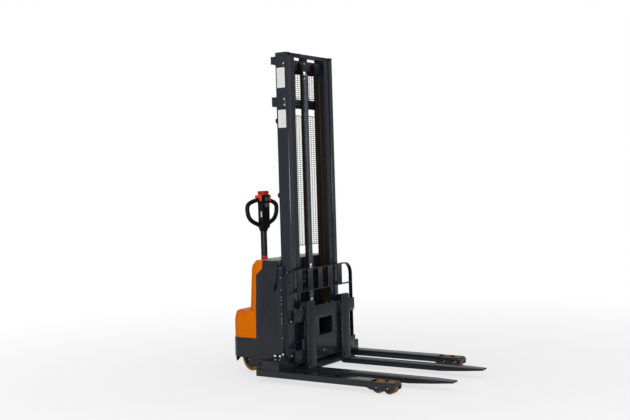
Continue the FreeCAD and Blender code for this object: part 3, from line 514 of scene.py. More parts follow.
# Outer mast: two rolled channels joined by three bolted ties behind, sprayed with the machine.
# Its ears carry plated bolts in front and painted ones behind.
# the glossiest dark paint, with bright lines where a corner meets a lamp
mast_enamel = sprayed_enamel("gloss_mast_enamel", "#1c222c", "#1a2029", 0.13, 0.18, 4.0, 0.5)
filed_copy("outer_mast", 0.0022, "chassis", mast_enamel, 50.0)
fit(placed_copies(small_bolt, "ear_bolts", [
    ((x, side * 0.307, z), (0, side, 0)) for side in (-1, 1)
    for x, z in ((-0.346, 2.193), (-0.346, 1.905), (-0.347, 1.945))]), "chassis", zinc)
fit(placed_copies(small_bolt, "painted_ear_bolts", [
    ((-0.420, side * 0.307, z), (0, side, 0)) for side in (-1, 1)
    for z in (2.235, 2.193, 1.95, 1.905)]), "chassis", enamel)

# Notice plates: two bare white vinyl labels without any print, with rounded corners.
# They are stuck to the flat side of the near channel, a fraction of a millimetre proud.


def block(name, centre, size):
    """A plain block, still to be shaped."""
    bpy.ops.object.select_all(action="DESELECT")
    bpy.ops.mesh.primitive_cube_add(size=1, location=centre, scale=size)
    piece = bpy.context.object
    piece.name = name
    bpy.ops.object.transform_apply(location=True, rotation=True, scale=True)
    return piece


def bevel_along(piece, way, longer, offset, segments):
    """Opens edit mode and rounds the edges that run further than a length along x, y or z."""
    alone(piece)
    bpy.ops.object.mode_set(mode="EDIT")
    bpy.ops.mesh.select_mode(type="EDGE")
    bpy.ops.mesh.select_all(action="DESELECT")
    shape = bmesh.from_edit_mesh(piece.data)
    for edge in shape.edges:
        a, b = (v.co for v in edge.verts)
        edge.select_set(abs(a["xyz".index(way)] - b["xyz".index(way)]) > longer)
    bmesh.update_edit_mesh(piece.data)
    bpy.ops.mesh.bevel(offset=offset, segments=segments, affect="EDGES")


# off white film, flat and slightly satin
vinyl, tree, shader = new_finish("white_vinyl_film")
place, tone = mottled(tree, "#dcdcda", "#cfcfcc", 30.0, 2.0)
tree.links.new(tone.outputs[2], shader.inputs["Base Color"])
shader.inputs["Roughness"].default_value = 0.35
for name, x0, x1, z0, z1 in (("upper", -0.410, -0.343, 2.027, 2.167), ("lower", -0.408, -0.342, 1.748, 1.873)):
    plate = block("notice_plate_" + name, ((x0 + x1) / 2, -0.2994, (z0 + z1) / 2), (x1 - x0, 0.0008, z1 - z0))
    bevel_along(plate, "y", 0.0005, 0.004, 4)
    bpy.ops.object.mode_set(mode="OBJECT")
    fit(plate, "chassis", vinyl)

# Rear knobs: two small black moulded stops, one above the other on the near channel.
# They are domed plastic, screwed to its rear flange.


def moulded_plastic(name, colour, shade, gloss, dull, grain_mm, depth, level=0.3):
    """Injection moulded plastic: even colour with a spark eroded grain."""
    material, shader = grained(name, colour, shade, (9.0, 3.0), (1000.0 / grain_mm, 3.0), gloss, dull, 0.25, depth)
    shader.inputs["IOR"].default_value = 1.5
    shader.inputs["Specular IOR Level"].default_value = level
    return material


# deep black with a dull, broken sheen
black_plastic = moulded_plastic("grained_black_polypropylene", "#0a0b0c", "#08090a", 0.4, 0.55, 1.2, 0.0003, 0.14)
for name, z in (("high", 1.798), ("low", 1.275)):
    knob = on_lathe("rear_knob_" + name, [
        (0.0, 0.0), (0.016, 0.0), (0.019, 0.003), (0.019, 0.009), (0.012, 0.013), (0.0, 0.0145)],
        (-0.424, -0.280, z), (-1, 0, 0), 32)
    fit(knob, "chassis", black_plastic)

# Inner mast: a nested pair of channels with its top plate, crosshead and running rollers.
# The enamel stops where the rollers run: there brown grease covers the bare rail.
# dark paint that turns to brown smeared grease inside the rail
rail, tree, shader = new_finish("enamel_with_greased_rail")
place = add(tree, "ShaderNodeTexCoord")
parts = add(tree, "ShaderNodeSeparateXYZ", None, {0: place.outputs["Object"]})
offset = add(tree, "ShaderNodeMath", {"operation": "ADD", 1: 0.374}, {0: parts.outputs["X"]})
apart = add(tree, "ShaderNodeMath", {"operation": "ABSOLUTE"}, {0: offset.outputs[0]})
inside = add(tree, "ShaderNodeMapRange", {"From Min": 0.0325, "From Max": 0.034, "To Min": 1.0, "To Max": 0.0},
             {"Value": apart.outputs[0]})
high = add(tree, "ShaderNodeMapRange", {"From Min": 2.05, "From Max": 2.15, "To Min": 1.0, "To Max": 0.0},
           {"Value": parts.outputs["Z"]})
smear = add(tree, "ShaderNodeTexNoise", {"Scale": 26.0, "Detail": 5.0}, {"Vector": place.outputs["Object"]})
blot = add(tree, "ShaderNodeMapRange", {"From Min": 0.3, "From Max": 0.55, "To Min": 0.35, "To Max": 1.0},
           {"Value": smear.outputs["Fac"]})
greasy = add(tree, "ShaderNodeMath", {"operation": "MULTIPLY"}, {0: inside.outputs[0], 1: high.outputs[0]})
greasy = add(tree, "ShaderNodeMath", {"operation": "MULTIPLY"}, {0: greasy.outputs[0], 1: blot.outputs[0]})
tone = add(tree, "ShaderNodeMix", {"data_type": "RGBA", 6: linear("#1a2029"), 7: linear("#2b231c")},
           {0: greasy.outputs[0]})
tree.links.new(tone.outputs[2], shader.inputs["Base Color"])
rough = add(tree, "ShaderNodeMapRange", {"To Min": 0.24, "To Max": 0.38}, {"Value": smear.outputs["Fac"]})
tree.links.new(rough.outputs[0], shader.inputs["Roughness"])
orange_peel(tree, shader, place, 250.0, 0.28)
filed_copy("inner_mast", 0.0020, "mast_section", rail, 50.0)

head_block = cut_plate("crosshead_block", [
    (-0.392, -0.050, 2.228), (-0.392, 0.022, 2.228), (-0.392, 0.016, 2.2635), (-0.392, -0.044, 2.2635)],
    (0.030, 0, 0), 0.002)
fit(head_block, "mast_section", rail)
forward = (1, 0, 0)
fit(placed_copies(small_bolt, "crosshead_bolt", [((-0.361, -0.022, 2.214), forward)]),
    "mast_section", zinc)

# Lift ram: a painted steel tube with a machined gland, and a hard chromed rod above it.
# Three small screws sit in the side of the tube.
# glossier than the mast, and lighter and bluer: that lighter, bluer tone is a painted highlight for the bright
# reflection down the tube
highlight_tube_enamel = sprayed_enamel("gloss_cylinder_enamel_with_painted_highlight", "#323846", "#2d3340", 0.1, 0.16, 3.0, 0.9)
filed_copy("cylinder_barrel", 0.001, "chassis", highlight_tube_enamel)
fit(placed_copies(small_bolt, "barrel_screws", [
    ((-0.3600, -0.0146, z), (0.6, -0.8, 0)) for z in (0.745, 0.765, 0.516)]), "chassis", zinc)
# a mirror finish that shows its surroundings in upright stripes
chrome = bare_metal("hard_chrome", "#d8dadc", "#cfd1d3", 0.06, 0.14, 0.6)
ram = (-0.379, 0, 0)
rod = on_lathe("chromed_rod", [
    (0.0, 0.33), (0.015, 0.33), (0.016, 0.332), (0.016, 2.1575), (0.0, 2.1575)], ram, up, 48)
fit(rod, "mast_section", chrome)
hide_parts("piston_rod")
gland = on_lathe("gland_ring", [
    (0.0163, 2.130), (0.0225, 2.130), (0.0245, 2.133), (0.0245, 2.139), (0.021, 2.142), (0.0163, 2.142),
    (0.0163, 2.130)], ram, up, 48)
fit(gland, "chassis", zinc)

# Lift chains: oiled leaf chain, waisted plates laced five and four across on steel pins.
# Each passes over a cast sheave in the crosshead.
# dark brown metal, wet with oil
oiled = bare_metal("oiled_chain_steel", "#37291f", "#1f1813", 0.3, 0.5, 2.0)
pitch = 0.0158
link = block("chain_plate", (0, 0, pitch / 2), (0.0118, 0.0022, pitch + 0.0118))
bevel_along(link, "y", 0.001, 0.0056, 3)
bpy.ops.mesh.select_all(action="SELECT")
bpy.ops.mesh.bisect(plane_co=(0, 0, pitch / 2), plane_no=(0, 0, 1))
bpy.ops.transform.resize(value=(0.7, 1, 1), center_override=(0, 0, pitch / 2))
bpy.ops.object.mode_set(mode="OBJECT")
bpy.ops.object.select_all(action="DESELECT")
bpy.ops.mesh.primitive_cylinder_add(vertices=8, radius=0.0026, depth=0.0219, rotation=(math.pi / 2, 0, 0))
pin = bpy.context.object
pin.name = "chain_pin"
bpy.ops.object.transform_apply(location=True, rotation=True, scale=True)
pick_faces(pin, lambda face: abs(face.normal.y) > 0.9)
bpy.ops.mesh.inset(thickness=0.0006)
bpy.ops.object.mode_set(mode="OBJECT")
lacing = ((-0.0096, -0.0048, 0.0, 0.0048, 0.0096), (-0.0072, -0.0024, 0.0024, 0.0072))


def leaf_chain(name, x, y, z0, z1):
    """One straight strand between two heights."""
    count = round((z1 - z0 - 0.0118) / pitch)
    step = (z1 - z0 - 0.0118) / count
    z0 += 0.0059
    made = []
    for i in range(count):
        for dy in lacing[i % 2]:
            made.append((link, y + dy, z0 + i * step))
    for i in range(count + 1):
        made.append((pin, y, z0 + i * step))
    chain = joined([one_copy(kind, name, Matrix.Translation((x, at, z))) for kind, at, z in made], name)
    chain.data.materials.append(oiled)
    return chain


# nearly black metal with a faint turned shine
cast_iron = bare_metal("machined_cast_iron", "#2b2926", "#1e1c1a", 0.35, 0.55, 1.5)
for side, y in (("left", 0.086), ("right", -0.086)):
    front = leaf_chain("front_leaf_chain_" + side, -0.345, y, 0.268, 2.172)
    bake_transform(front)
    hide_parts("front_chain_" + side)
    behind = leaf_chain("rear_leaf_chain_" + side, -0.413, y, 1.966, 2.172)
    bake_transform(behind)
    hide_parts("rear_chain_" + side)
    centre = Vector((-0.379, y, 2.172))
    wheel = on_lathe("sheave_wheel_" + side, [
        (0.0082, -0.0158), (0.0130, -0.0158), (0.0150, -0.0140), (0.0330, -0.0140), (0.0350, -0.0160),
        (0.0385, -0.0160), (0.0398, -0.0145), (0.0380, -0.0128), (0.0280, -0.0120), (0.0280, 0.0120),
        (0.0380, 0.0128), (0.0398, 0.0145), (0.0385, 0.0160), (0.0350, 0.0160), (0.0330, 0.0140),
        (0.0150, 0.0140), (0.0130, 0.0158), (0.0082, 0.0158), (0.0082, -0.0158)], centre, across, 48)
    fit(wheel, "mast_section", cast_iron)
    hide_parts("sheave_" + side)
    wrap = []
    for i in range(8):
        angle = math.pi * i / 7
        rim = Matrix.Translation(centre) @ Matrix.Rotation(-angle, 4, "Y") @ Matrix.Translation((0.034, 0, 0))
        wrap.append((pin, rim))
        if i < 7:
            for dy in lacing[i % 2]:
                lean = Matrix.Rotation(-math.pi / 14, 4, "Y")
                wrap.append((link, rim @ lean @ Matrix.Translation((0, dy, 0))))
    round_sheave = joined([one_copy(kind, "chain_wrap", where) for kind, where in wrap], "chain_wrap_" + side)
    fit(round_sheave, "mast_section", oiled)
bpy.data.objects.remove(link)
bpy.data.objects.remove(pin)

# Wire guard: welded wire mesh in a flat frame, hung behind the mast for the operator.
# Real wire is thinner: here it is 3 mm thick at a pitch of about 15 mm, so that it shows.
# dull black, so the wires read as thin lines against white
wire_enamel = sprayed_enamel("dipped_black_wire_enamel", "#15171a", "#111315", 0.35, 0.5, 2.0, 0.4)
guard_x = -0.427
span = 0.262
rows = []
for z0, z1 in ((0.903, 1.846), (1.968, 2.186)):
    count = round((z1 - z0 - 0.004) / 0.0146)
    step = (z1 - z0 - 0.004) / count
    for horizontal, number, pitch_of in ((True, count + 1, step), (False, 18, 2 * (span - 0.002) / 17)):
        bpy.ops.object.select_all(action="DESELECT")
        depth = 2 * span if horizontal else z1 - z0
        turned_to = (math.pi / 2, 0, 0) if horizontal else (0, 0, 0)
        start = (guard_x, 0, z0 + 0.002) if horizontal else (guard_x + 0.0016, -span + 0.002, (z0 + z1) / 2)
        bpy.ops.mesh.primitive_cylinder_add(vertices=6, radius=0.0015, depth=depth, rotation=turned_to,
                                            location=start)
        wire = bpy.context.object
        bpy.ops.object.transform_apply(location=True, rotation=True, scale=True)
        along = wire.modifiers.new("pitch", "ARRAY")
        along.count = number
        along.use_relative_offset = False
        along.use_constant_offset = True
        along.constant_offset_displace = (0, 0, pitch_of) if horizontal else (0, pitch_of, 0)
        bpy.ops.object.modifier_apply(modifier=along.name)
        bpy.ops.object.shade_smooth_by_angle(angle=math.radians(70))
        rows.append(wire)
    for edge_z in (z0 + 0.003, z1 - 0.003):
        strip = block("guard_strip", (guard_x, 0, edge_z), (0.003, 2 * span, 0.006))
        rounded(strip, 0.0008, 2)
        rows.append(strip)
for y in (-0.274, 0.274):
    bar = block("guard_bar", (guard_x, y, 1.5445), (0.005, 0.024, 1.283))
    rounded(bar, 0.001, 2)
    rows.append(bar)
guard = joined(rows, "wire_guard")
fit(guard, "chassis", wire_enamel)
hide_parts("mesh_guard")

# Carriage: two flame cut cross plates on side stiles with rollers, posts between, and the chain anchors.
# Painted with the mast; cut edges are ground. Its hardware is zinc plated, the grease nipples brass.
filed_copy("carriage", 0.0012, "fork_carriage", enamel)
# small dark yellow glints
brass = bare_metal("turned_brass", "#7d6a2e", "#665524", 0.25, 0.4, 1.0)
nipple = on_lathe("grease_nipple", [
    (0.0, 0.0), (0.0055, 0.0), (0.0055, 0.004), (0.0032, 0.005), (0.0032, 0.008), (0.0040, 0.010),
    (0.0022, 0.0125), (0.0, 0.013)], (0, 0, 0), up, 16)
fit(placed_copies(nipple, "grease_nipples", [
    ((-0.263, y, 0.4855), up) for y in (-0.375, -0.300, 0.03, 0.105)]), "fork_carriage", brass)
bpy.data.objects.remove(nipple)
fit(placed_copies(small_bolt, "carriage_bolts", [((-0.2532, -0.034, 0.156), forward)]),
    "fork_carriage", zinc)
fit(placed_copies(small_bolt, "post_bolts", [
    ((-0.2532, side * 0.137, z), forward) for side in (-1, 1) for z in (0.258, 0.305)]),
    "fork_carriage", enamel)
fit(placed_copies(small_bolt, "backrest_bolts", [
    ((-0.2735, side * 0.413, z), forward) for side in (-1, 1) for z in (0.407, 0.170)]),
    "fork_carriage", zinc)
for side, y in (("left", 0.086), ("right", -0.086)):
    anchor = on_lathe("chain_anchor_" + side, [
        (0.0, 0.222), (0.007, 0.222), (0.007, 0.232), (0.0125, 0.233), (0.0125, 0.243), (0.010, 0.2445),
        (0.007, 0.245), (0.007, 0.2518), (0.0, 0.2518)], (-0.345, y, 0), up, 20)
    fit(anchor, "fork_carriage", zinc)

# Load backrest: flat bar bent in one hoop, with a middle rail and five flat slats welded in.
# The bar is 28 by 8 mm, sprayed as the carriage, its corners rounded by rolling.
filed_copy("load_backrest", 0.0008, "fork_carriage", fork_enamel, 50.0)

# Battery: the traction battery's moulded black case.
# It stands in the cover and is almost hidden by it, so it stays a plain case.
filed_copy("battery", 0.004, "chassis", black_plastic)

# Body cover: folded sheet steel, 4 mm thick here, over the battery and the rear wheels.
# It is sprayed as the chassis and screwed along its front edge, with oval grips in both sides; the grips' pockets
# and a line along each side are painted shade in near black.
filed_copy("body_cover", 0.0012, "chassis", enamel)
cover_screw = on_lathe("cover_screw", [
    (0.0, 0.0), (0.0055, 0.0), (0.0055, 0.001), (0.0046, 0.0026), (0.0026, 0.0032), (0.0021, 0.0022),
    (0.0, 0.0022)], (0, 0, 0), up, 20)
screws = placed_copies(cover_screw, "cover_screws", [
    ((-0.4120, side * 0.325, z), (0, side, 0))
    for side in (-1, 1) for z in (0.763, 0.698, 0.613, 0.560, 0.540, 0.512, 0.440, 0.410, 0.392, 0.375, 0.272)])
# mid grey and matt, duller than zinc
phosphated = bare_metal("phosphated_steel", "#9ba1a9", "#858b93", 0.35, 0.5, 0.8)
fit(screws, "chassis", phosphated)
bpy.data.objects.remove(cover_screw)
for side in (-1, 1):
    strip = cut_plate("cover_strip", [
        (-0.4305, side * 0.325, 0.155), (-0.3985, side * 0.325, 0.155), (-0.3985, side * 0.3105, 0.155),
        (-0.4000, side * 0.3105, 0.155), (-0.4000, side * 0.3235, 0.155), (-0.4305, side * 0.3235, 0.155)],
        (0, 0, 0.622), 0.0004)
    fit(strip, "chassis", enamel)
# near black with almost no gloss: painted shade that stands in for the shadow deep in the grip pockets and along the
# cover's cut back front edge
recess_shade_black = moulded_plastic("painted_recess_shade_black", "#040405", "#030304", 0.6, 0.75, 1.0, 0.0002, 0.05)
for side, sign in (("left", 1), ("right", -1)):
    bpy.ops.object.select_all(action="DESELECT")
    bpy.ops.mesh.primitive_cylinder_add(vertices=32, radius=0.0125, depth=0.003, rotation=(math.pi / 2, 0, 0),
                                        location=(-0.459, sign * 0.3252, 0.6305))
    grip = bpy.context.object
    grip.name = "oval_grip_" + side
    bpy.ops.object.transform_apply(location=True, rotation=True, scale=True)
    bpy.ops.object.mode_set(mode="EDIT")
    bpy.ops.mesh.select_mode(type="VERT")
    for low, shift in ((True, (-0.002, 0, -0.0185)), (False, (0.002, 0, 0.0185))):
        bpy.ops.mesh.select_all(action="DESELECT")
        shape = bmesh.from_edit_mesh(grip.data)
        for v in shape.verts:
            v.select_set((v.co.z < 0.6304) == low)
        bmesh.update_edit_mesh(grip.data)
        bpy.ops.transform.translate(value=shift)
    bpy.ops.object.mode_set(mode="OBJECT")
    pick_faces(grip, lambda face: face.normal.y * sign > 0.9)
    bpy.ops.mesh.inset(thickness=0.0042)
    bpy.ops.transform.translate(value=(0, -sign * 0.012, 0))
    bpy.ops.object.mode_set(mode="OBJECT")
    rounded(grip, 0.0008, 2)
    bpy.ops.object.shade_smooth_by_angle(angle=math.radians(40))
    # the pocket takes the near black finish: painted shade in its hollow
    fit(grip, "chassis", recess_shade_black)
    # a thin near black strip on the cover's side: a painted shadow line where its front edge is cut back
    seam = cut_plate("cover_seam_shade_line", [
        (-0.4375, sign * 0.3246, 0.800), (-0.4315, sign * 0.3246, 0.800), (-0.4405, sign * 0.3246, 0.668),
        (-0.4530, sign * 0.3246, 0.650)], (0, sign * 0.0008, 0), 0)
    fit(seam, "chassis", recess_shade_black)

# Rear cover: one orange moulding over the drive unit with a band that stands behind the battery.
# It is taken for formed ABS, so all its corners are round; a black flap hangs behind the drive wheel.
# strong flat orange with hardly any highlight
orange = moulded_plastic("orange_formed_abs", "#d46b01", "#cb6401", 0.45, 0.56, 3.0, 0.0002, 0.04)
moulding = joined_flats("rear_cover", "rear_moulding")
bpy.ops.mesh.select_mode(type="VERT")
# each height of the rounded shoulder: how far the sides draw in, and the share kept of the rear's reach
shoulder = [(0.375, 0.0, 1.0), (0.396, 0.0038, 0.95), (0.404, 0.005, 0.93), (0.418, 0.011, 0.90),
            (0.430, 0.018, 0.844), (0.440, 0.026, 0.861), (0.446, 0.037, 0.81), (0.453, 0.054, 0.86)]
for height, _, _ in shoulder[:7]:
    bpy.ops.mesh.select_all(action="SELECT")
    bpy.ops.mesh.bisect(plane_co=(0, 0, height), plane_no=(0, 0, 1))
for place in (-0.778, -0.760, -0.742):
    bpy.ops.mesh.select_all(action="SELECT")
    bpy.ops.mesh.bisect(plane_co=(place, 0, 0), plane_no=(1, 0, 0))
shape = bmesh.from_edit_mesh(moulding.data)
for v in shape.verts:
    for (low, inset, draw), (high, more, then) in zip(shoulder, shoulder[1:]):
        if low < v.co.z <= high and v.co.x < -0.742:
            part = (v.co.z - low) / (high - low)
            share = min(1.0, (-0.742 - v.co.x) / 0.036)
            if abs(v.co.y) > 0.250:
                side = math.copysign(1, v.co.y)
                keep = 1 - share * (inset + part * (more - inset)) / 0.072
                v.co.y = side * (0.250 + (abs(v.co.y) - 0.250) * keep)
            if v.co.x < -0.794:
                v.co.x = -0.794 + (v.co.x + 0.794) * (draw + part * (then - draw))
            break
bmesh.update_edit_mesh(moulding.data)
bpy.ops.object.mode_set(mode="OBJECT")
bpy.ops.object.shade_smooth()
bevel = moulding.modifiers.new("moulded_edge", "BEVEL")
bevel.width = 0.004
bevel.segments = 3
bevel.limit_method = "ANGLE"
bevel.angle_limit = math.radians(38)
bevel.harden_normals = True
bpy.ops.object.modifier_apply(modifier=bevel.name)
fit(moulding, "chassis", orange)
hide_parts("rear_cover")
flap = cut_plate("rear_flap", [(-0.8730, -0.266, 0.116), (-0.8730, -0.262, 0.070), (-0.8730, -0.250, 0.067),
                               (-0.8730, -0.196, 0.097), (-0.8730, -0.186, 0.116)], (0.003, 0, 0), 0.0006)
fit(flap, "chassis", black_plastic)

# Top panel: a pale moulded plate on the cover with the key, the charge gauge and the emergency stop.
# The stop is a red moulded mushroom; the gauge's window is left blank.
# pale warm grey with a fine matt grain
panel = moulded_plastic("pale_beige_abs", "#a09a8c", "#958f82", 0.45, 0.6, 1.0, 0.0002)
filed_copy("top_panel", 0.0012, "chassis", panel)
# clear red with a small soft highlight
red = moulded_plastic("red_moulded_nylon", "#ba1e0c", "#a91a0a", 0.25, 0.4, 1.5, 0.0001, 0.15)
stop = on_lathe("stop_button", [
    (0.0, 0.8173), (0.0145, 0.8173), (0.0145, 0.826), (0.0170, 0.828), (0.0192, 0.8305), (0.0200, 0.834),
    (0.0192, 0.838), (0.0165, 0.8412), (0.0110, 0.8428), (0.0060, 0.8424), (0.0, 0.8418)],
    (-0.586, -0.262, 0), up, 48)
fit(stop, "chassis", red)
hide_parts("emergency_stop")
# a bright ring round the key
barrel_steel = bare_metal("nickel_plated_brass", "#b8b7b2", "#a3a29c", 0.15, 0.3, 0.8)
lock = on_lathe("key_barrel", [
    (0.0, 0.8203), (0.0140, 0.8203), (0.0140, 0.8245), (0.0125, 0.8260), (0.0100, 0.8260), (0.0095, 0.8250),
    (0.0030, 0.8250), (0.0, 0.8250)], (-0.524, 0, 0), up, 40)
fit(lock, "chassis", barrel_steel)
key = block("key", (-0.524, 0, 0.8365), (0.018, 0.005, 0.022))
pick_faces(key, lambda face: abs(face.normal.y) > 0.9)
bpy.ops.mesh.inset(thickness=0.002)
bpy.ops.transform.resize(value=(1, 0.6, 1), center_override=(-0.524, 0, 0.8365))
bpy.ops.object.mode_set(mode="OBJECT")
rounded(key, 0.0012, 2)
bpy.ops.object.shade_smooth_by_angle(angle=math.radians(40))
fit(key, "chassis", black_plastic)
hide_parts("key_switch")
gauge = block("charge_gauge_case", (-0.528, -0.08, 0.82365), (0.048, 0.080, 0.0067))
pick_faces(gauge, lambda face: face.normal.z > 0.9)
bpy.ops.mesh.inset(thickness=0.006)
bpy.ops.transform.translate(value=(0, 0, -0.0018))
bpy.ops.object.mode_set(mode="OBJECT")
rounded(gauge, 0.0014, 3)
bpy.ops.object.shade_smooth_by_angle(angle=math.radians(40))
fit(gauge, "chassis", black_plastic)
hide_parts("charge_gauge")

# Drive unit: the steered yoke with its gearbox and motor, and a 210 mm polyurethane tyred wheel.
# The wheel's cast centre is bolted to the gearbox; it is parked turned 17 degrees.
filed_copy("drive_yoke", 0.0015, "drive_unit", enamel)
park = math.radians(-17)


def parked(piece, x, y):
    """Turns a piece by the parked steering angle about the upright line at x, y."""
    spot = Matrix.Translation((x, y, 0))
    piece.data.transform(spot @ Matrix.Rotation(park, 4, "Z") @ spot.inverted())
    return piece


drive_hub = (-0.752, -0.203, 0.105)
drive_tread = on_lathe("drive_tread", [
    (0.0800, -0.035), (0.0985, -0.035), (0.1030, -0.0335), (0.1050, -0.030), (0.1050, 0.030),
    (0.1030, 0.0335), (0.0985, 0.035), (0.0800, 0.035), (0.0800, -0.035)],
    drive_hub, across, 112)
parked(drive_tread, *drive_hub[:2])
fit(drive_tread, "drive_tyre", resin)
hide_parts("drive_wheel")
centre = on_lathe("drive_centre", [
    (0.0202, -0.031), (0.0260, -0.032), (0.0420, -0.032), (0.0440, -0.030), (0.0460, -0.021),
    (0.0620, -0.020), (0.0660, -0.033), (0.0798, -0.034), (0.0798, 0.034), (0.0202, 0.034), (0.0202, -0.031)],
    drive_hub, across, 72)
parked(centre, *drive_hub[:2])
fit(centre, "drive_tyre", cast_iron)
wheel_nuts = placed_copies(small_bolt, "drive_wheel_nuts", [
    ((-0.752 + 0.054 * math.cos(a), -0.2232, 0.105 + 0.054 * math.sin(a)), (0, -1, 0))
    for a in (math.tau * i / 5 for i in range(5))])
parked(wheel_nuts, *drive_hub[:2])
fit(wheel_nuts, "drive_tyre", zinc)

# Caster: a pressed and zinc plated swivel fork with a grey rubber wheel on a plain core.
# The photograph doesn't show it, so it follows the usual kind.
filed_copy("caster_yoke", 0.001, "caster_fork", zinc)
# mid grey and matt
rubber = moulded_plastic("grey_rubber", "#3a3b3d", "#313234", 0.6, 0.75, 1.5, 0.0004)
caster_hub = (-0.776, 0.205, 0.0625)
caster_tread = on_lathe("caster_tread", [
    (0.0400, -0.0205), (0.0520, -0.0208), (0.0590, -0.0170), (0.0618, -0.0100), (0.0625, 0.0),
    (0.0618, 0.0100), (0.0590, 0.0170), (0.0520, 0.0208), (0.0400, 0.0205), (0.0400, -0.0205)],
    caster_hub, across, 72)
fit(caster_tread, "caster_tyre", rubber)
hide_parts("caster_wheel")
caster_core = on_lathe("caster_core", [
    (0.0082, -0.0210), (0.0130, -0.0210), (0.0150, -0.0160), (0.0340, -0.0130), (0.0370, -0.0190),
    (0.0398, -0.0190), (0.0398, 0.0190), (0.0370, 0.0190), (0.0340, 0.0130), (0.0150, 0.0160),
    (0.0130, 0.0210), (0.0082, 0.0210), (0.0082, -0.0210)], caster_hub, across, 48)
fit(caster_core, "caster_tyre", black_plastic)

# Tiller: a collar and turntable on the rear cover, a round tube and the moulded head with its two grips.
# The tube is sprayed steel; the head is grained black plastic, bolted on over the tube's end.
filed_copy("steering_collar", 0.0015, "chassis", enamel)
filed_copy("tiller_base", 0.0015, "tiller_turntable", enamel)
tiller_x = -0.783
foot = 1.006
tube = on_lathe("tiller_tube", [
    (0.0, 0.560), (0.0240, 0.560), (0.0240, 1.0058), (0.0, 1.0058)], (tiller_x, 0, 0), up, 56)
# dark satin paint, duller than the mast
tiller_enamel = sprayed_enamel("satin_tiller_enamel", "#161b24", "#141820", 0.3, 0.4, 3.0, 0.25)
fit(tube, "tiller", tiller_enamel)
hub = on_lathe("tiller_hub", [
    (0.0101, -0.0255), (0.0210, -0.0255), (0.0230, -0.0235), (0.0230, 0.0235), (0.0210, 0.0255),
    (0.0101, 0.0255), (0.0101, -0.0255)], (tiller_x, 0, 0.540), across, 40)
parked(hub, tiller_x, 0)
fit(hub, "tiller", enamel)
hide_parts("tiller_arm")
neck = on_lathe("tiller_neck", [
    (0.0242, foot - 0.0018), (0.0285, foot - 0.002), (0.0298, foot), (0.0310, foot + 0.010),
    (0.0365, foot + 0.024), (0.0410, foot + 0.038), (0.0415, foot + 0.052), (0.0, foot + 0.060)],
    (tiller_x, 0, 0), up, 40)
core = block("tiller_core", (-0.772, 0, foot + 0.145), (0.060, 0.082, 0.250))
bevel_along(core, "z", 0.1, 0.011, 5)
for height, squeeze in ((foot + 0.035, 0.95), (foot + 0.09, 0.96), (foot + 0.16, 0.98), (foot + 0.225, 1.0)):
    bpy.ops.mesh.select_all(action="SELECT")
    bpy.ops.mesh.bisect(plane_co=(0, 0, height), plane_no=(0, 0, 1))
    bpy.ops.transform.resize(value=(squeeze, squeeze, 1), center_override=(tiller_x, 0, height))
bpy.ops.mesh.select_all(action="DESELECT")
shape = bmesh.from_edit_mesh(core.data)
for v in shape.verts:
    v.select_set(v.co.z < foot + 0.025)
bmesh.update_edit_mesh(core.data)
bpy.ops.transform.resize(value=(0.8, 0.75, 1), center_override=(tiller_x, 0, foot))
bpy.ops.object.mode_set(mode="OBJECT")
rounded(core, 0.003, 3, 50)
bpy.ops.object.shade_smooth_by_angle(angle=math.radians(40))
head_pieces = [neck, core]
loop = [(12, 36), (36, 48), (74, 64), (104, 82), (124, 106), (134, 138), (137, 176), (132, 194), (116, 210),
        (88, 222), (54, 231), (16, 236)]
for side in (-1, 1):
    line = bpy.data.curves.new("grip_line", "CURVE")
    line.dimensions = "3D"
    line.bevel_depth = 0.0162
    line.bevel_resolution = 7
    line.resolution_u = 8
    bend = line.splines.new("NURBS")
    bend.points.add(len(loop) - 1)
    for point, (y, z) in zip(bend.points, loop):
        point.co = (-0.795, side * y / 1000, foot + z / 1000, 1)
    bend.order_u = 3
    bend.use_endpoint_u = True
    grip_half = bpy.data.objects.new("grip_loop", line)
    bpy.context.scene.collection.objects.link(grip_half)
    alone(grip_half)
    bpy.ops.object.convert(target="MESH")
    bpy.ops.object.shade_smooth()
    head_pieces.append(bpy.context.object)
joined(head_pieces, "tiller_grip_head", 1)
parked(core, tiller_x, 0)
fit(core, "tiller", black_plastic)
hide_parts("tiller_head")

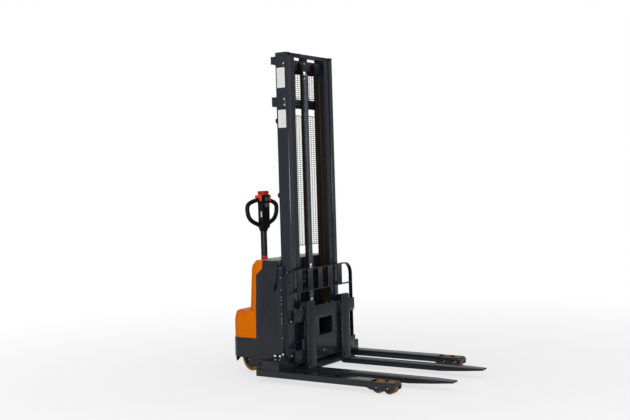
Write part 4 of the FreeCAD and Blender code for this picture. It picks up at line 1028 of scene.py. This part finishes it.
# Head controls: the red belly switch on top, two orange butterfly throttles and two grey rockers.
# All are moulded plastic; a small blank vinyl plate sits below them on the head.
cap = block("belly_switch_cap", (-0.775, 0, 1.2915), (0.070, 0.070, 0.029))
bevel_along(cap, "z", 0.02, 0.018, 6)
bpy.ops.object.mode_set(mode="OBJECT")
rounded(cap, 0.009, 5, 60)
bpy.ops.object.shade_smooth_by_angle(angle=math.radians(40))
parked(cap, tiller_x, 0)
fit(cap, "tiller", red)
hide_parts("belly_button")
tag = cut_plate("head_plate", [(-0.759, -0.0395, 1.112), (-0.743, -0.0395, 1.112), (-0.743, -0.0395, 1.153),
                              (-0.759, -0.0395, 1.153)], (0, -0.0022, 0), 0.0004)
parked(tag, tiller_x, 0)
fit(tag, "tiller", vinyl)
# bright orange red, smooth
butterfly = moulded_plastic("orange_moulded_pom", "#ea4a06", "#dd4405", 0.3, 0.45, 1.5, 0.0001, 0.3)
wing_line = [(-0.034, 1.262), (-0.030, 1.275), (0.036, 1.278), (0.040, 1.232), (0.022, 1.230), (0.016, 1.254),
             (-0.030, 1.252)]
for side, sign in (("left", 1), ("right", -1)):
    wing = cut_plate("butterfly_" + side, [(tiller_x + x, sign * 0.0365, z) for x, z in wing_line],
                     (0, sign * 0.0125, 0), 0.0032, 4)
    parked(wing, tiller_x, 0)
    fit(wing, "tiller", butterfly)
    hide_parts("throttle_" + side)
# mid grey, finely grained
grey = moulded_plastic("grey_moulded_abs", "#4a4c50", "#404246", 0.35, 0.5, 1.0, 0.0002)
rockers = []
for z in (1.2466, 1.200):
    rocker = block("rocker", (-0.7408, 0.006, z), (0.006, 0.034, 0.030))
    pick_faces(rocker, lambda face: face.normal.x > 0.9)
    bpy.ops.mesh.inset(thickness=0.003)
    bpy.ops.transform.translate(value=(-0.0012, 0, 0))
    bpy.ops.object.mode_set(mode="OBJECT")
    rounded(rocker, 0.0022, 3)
    bpy.ops.object.shade_smooth_by_angle(angle=math.radians(40))
    rockers.append(rocker)
pair = joined(rockers, "rocker_pair")
parked(pair, tiller_x, 0)
fit(pair, "tiller", grey)
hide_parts("rocker_buttons")

bpy.data.objects.remove(big_bolt)
bpy.data.objects.remove(small_bolt)
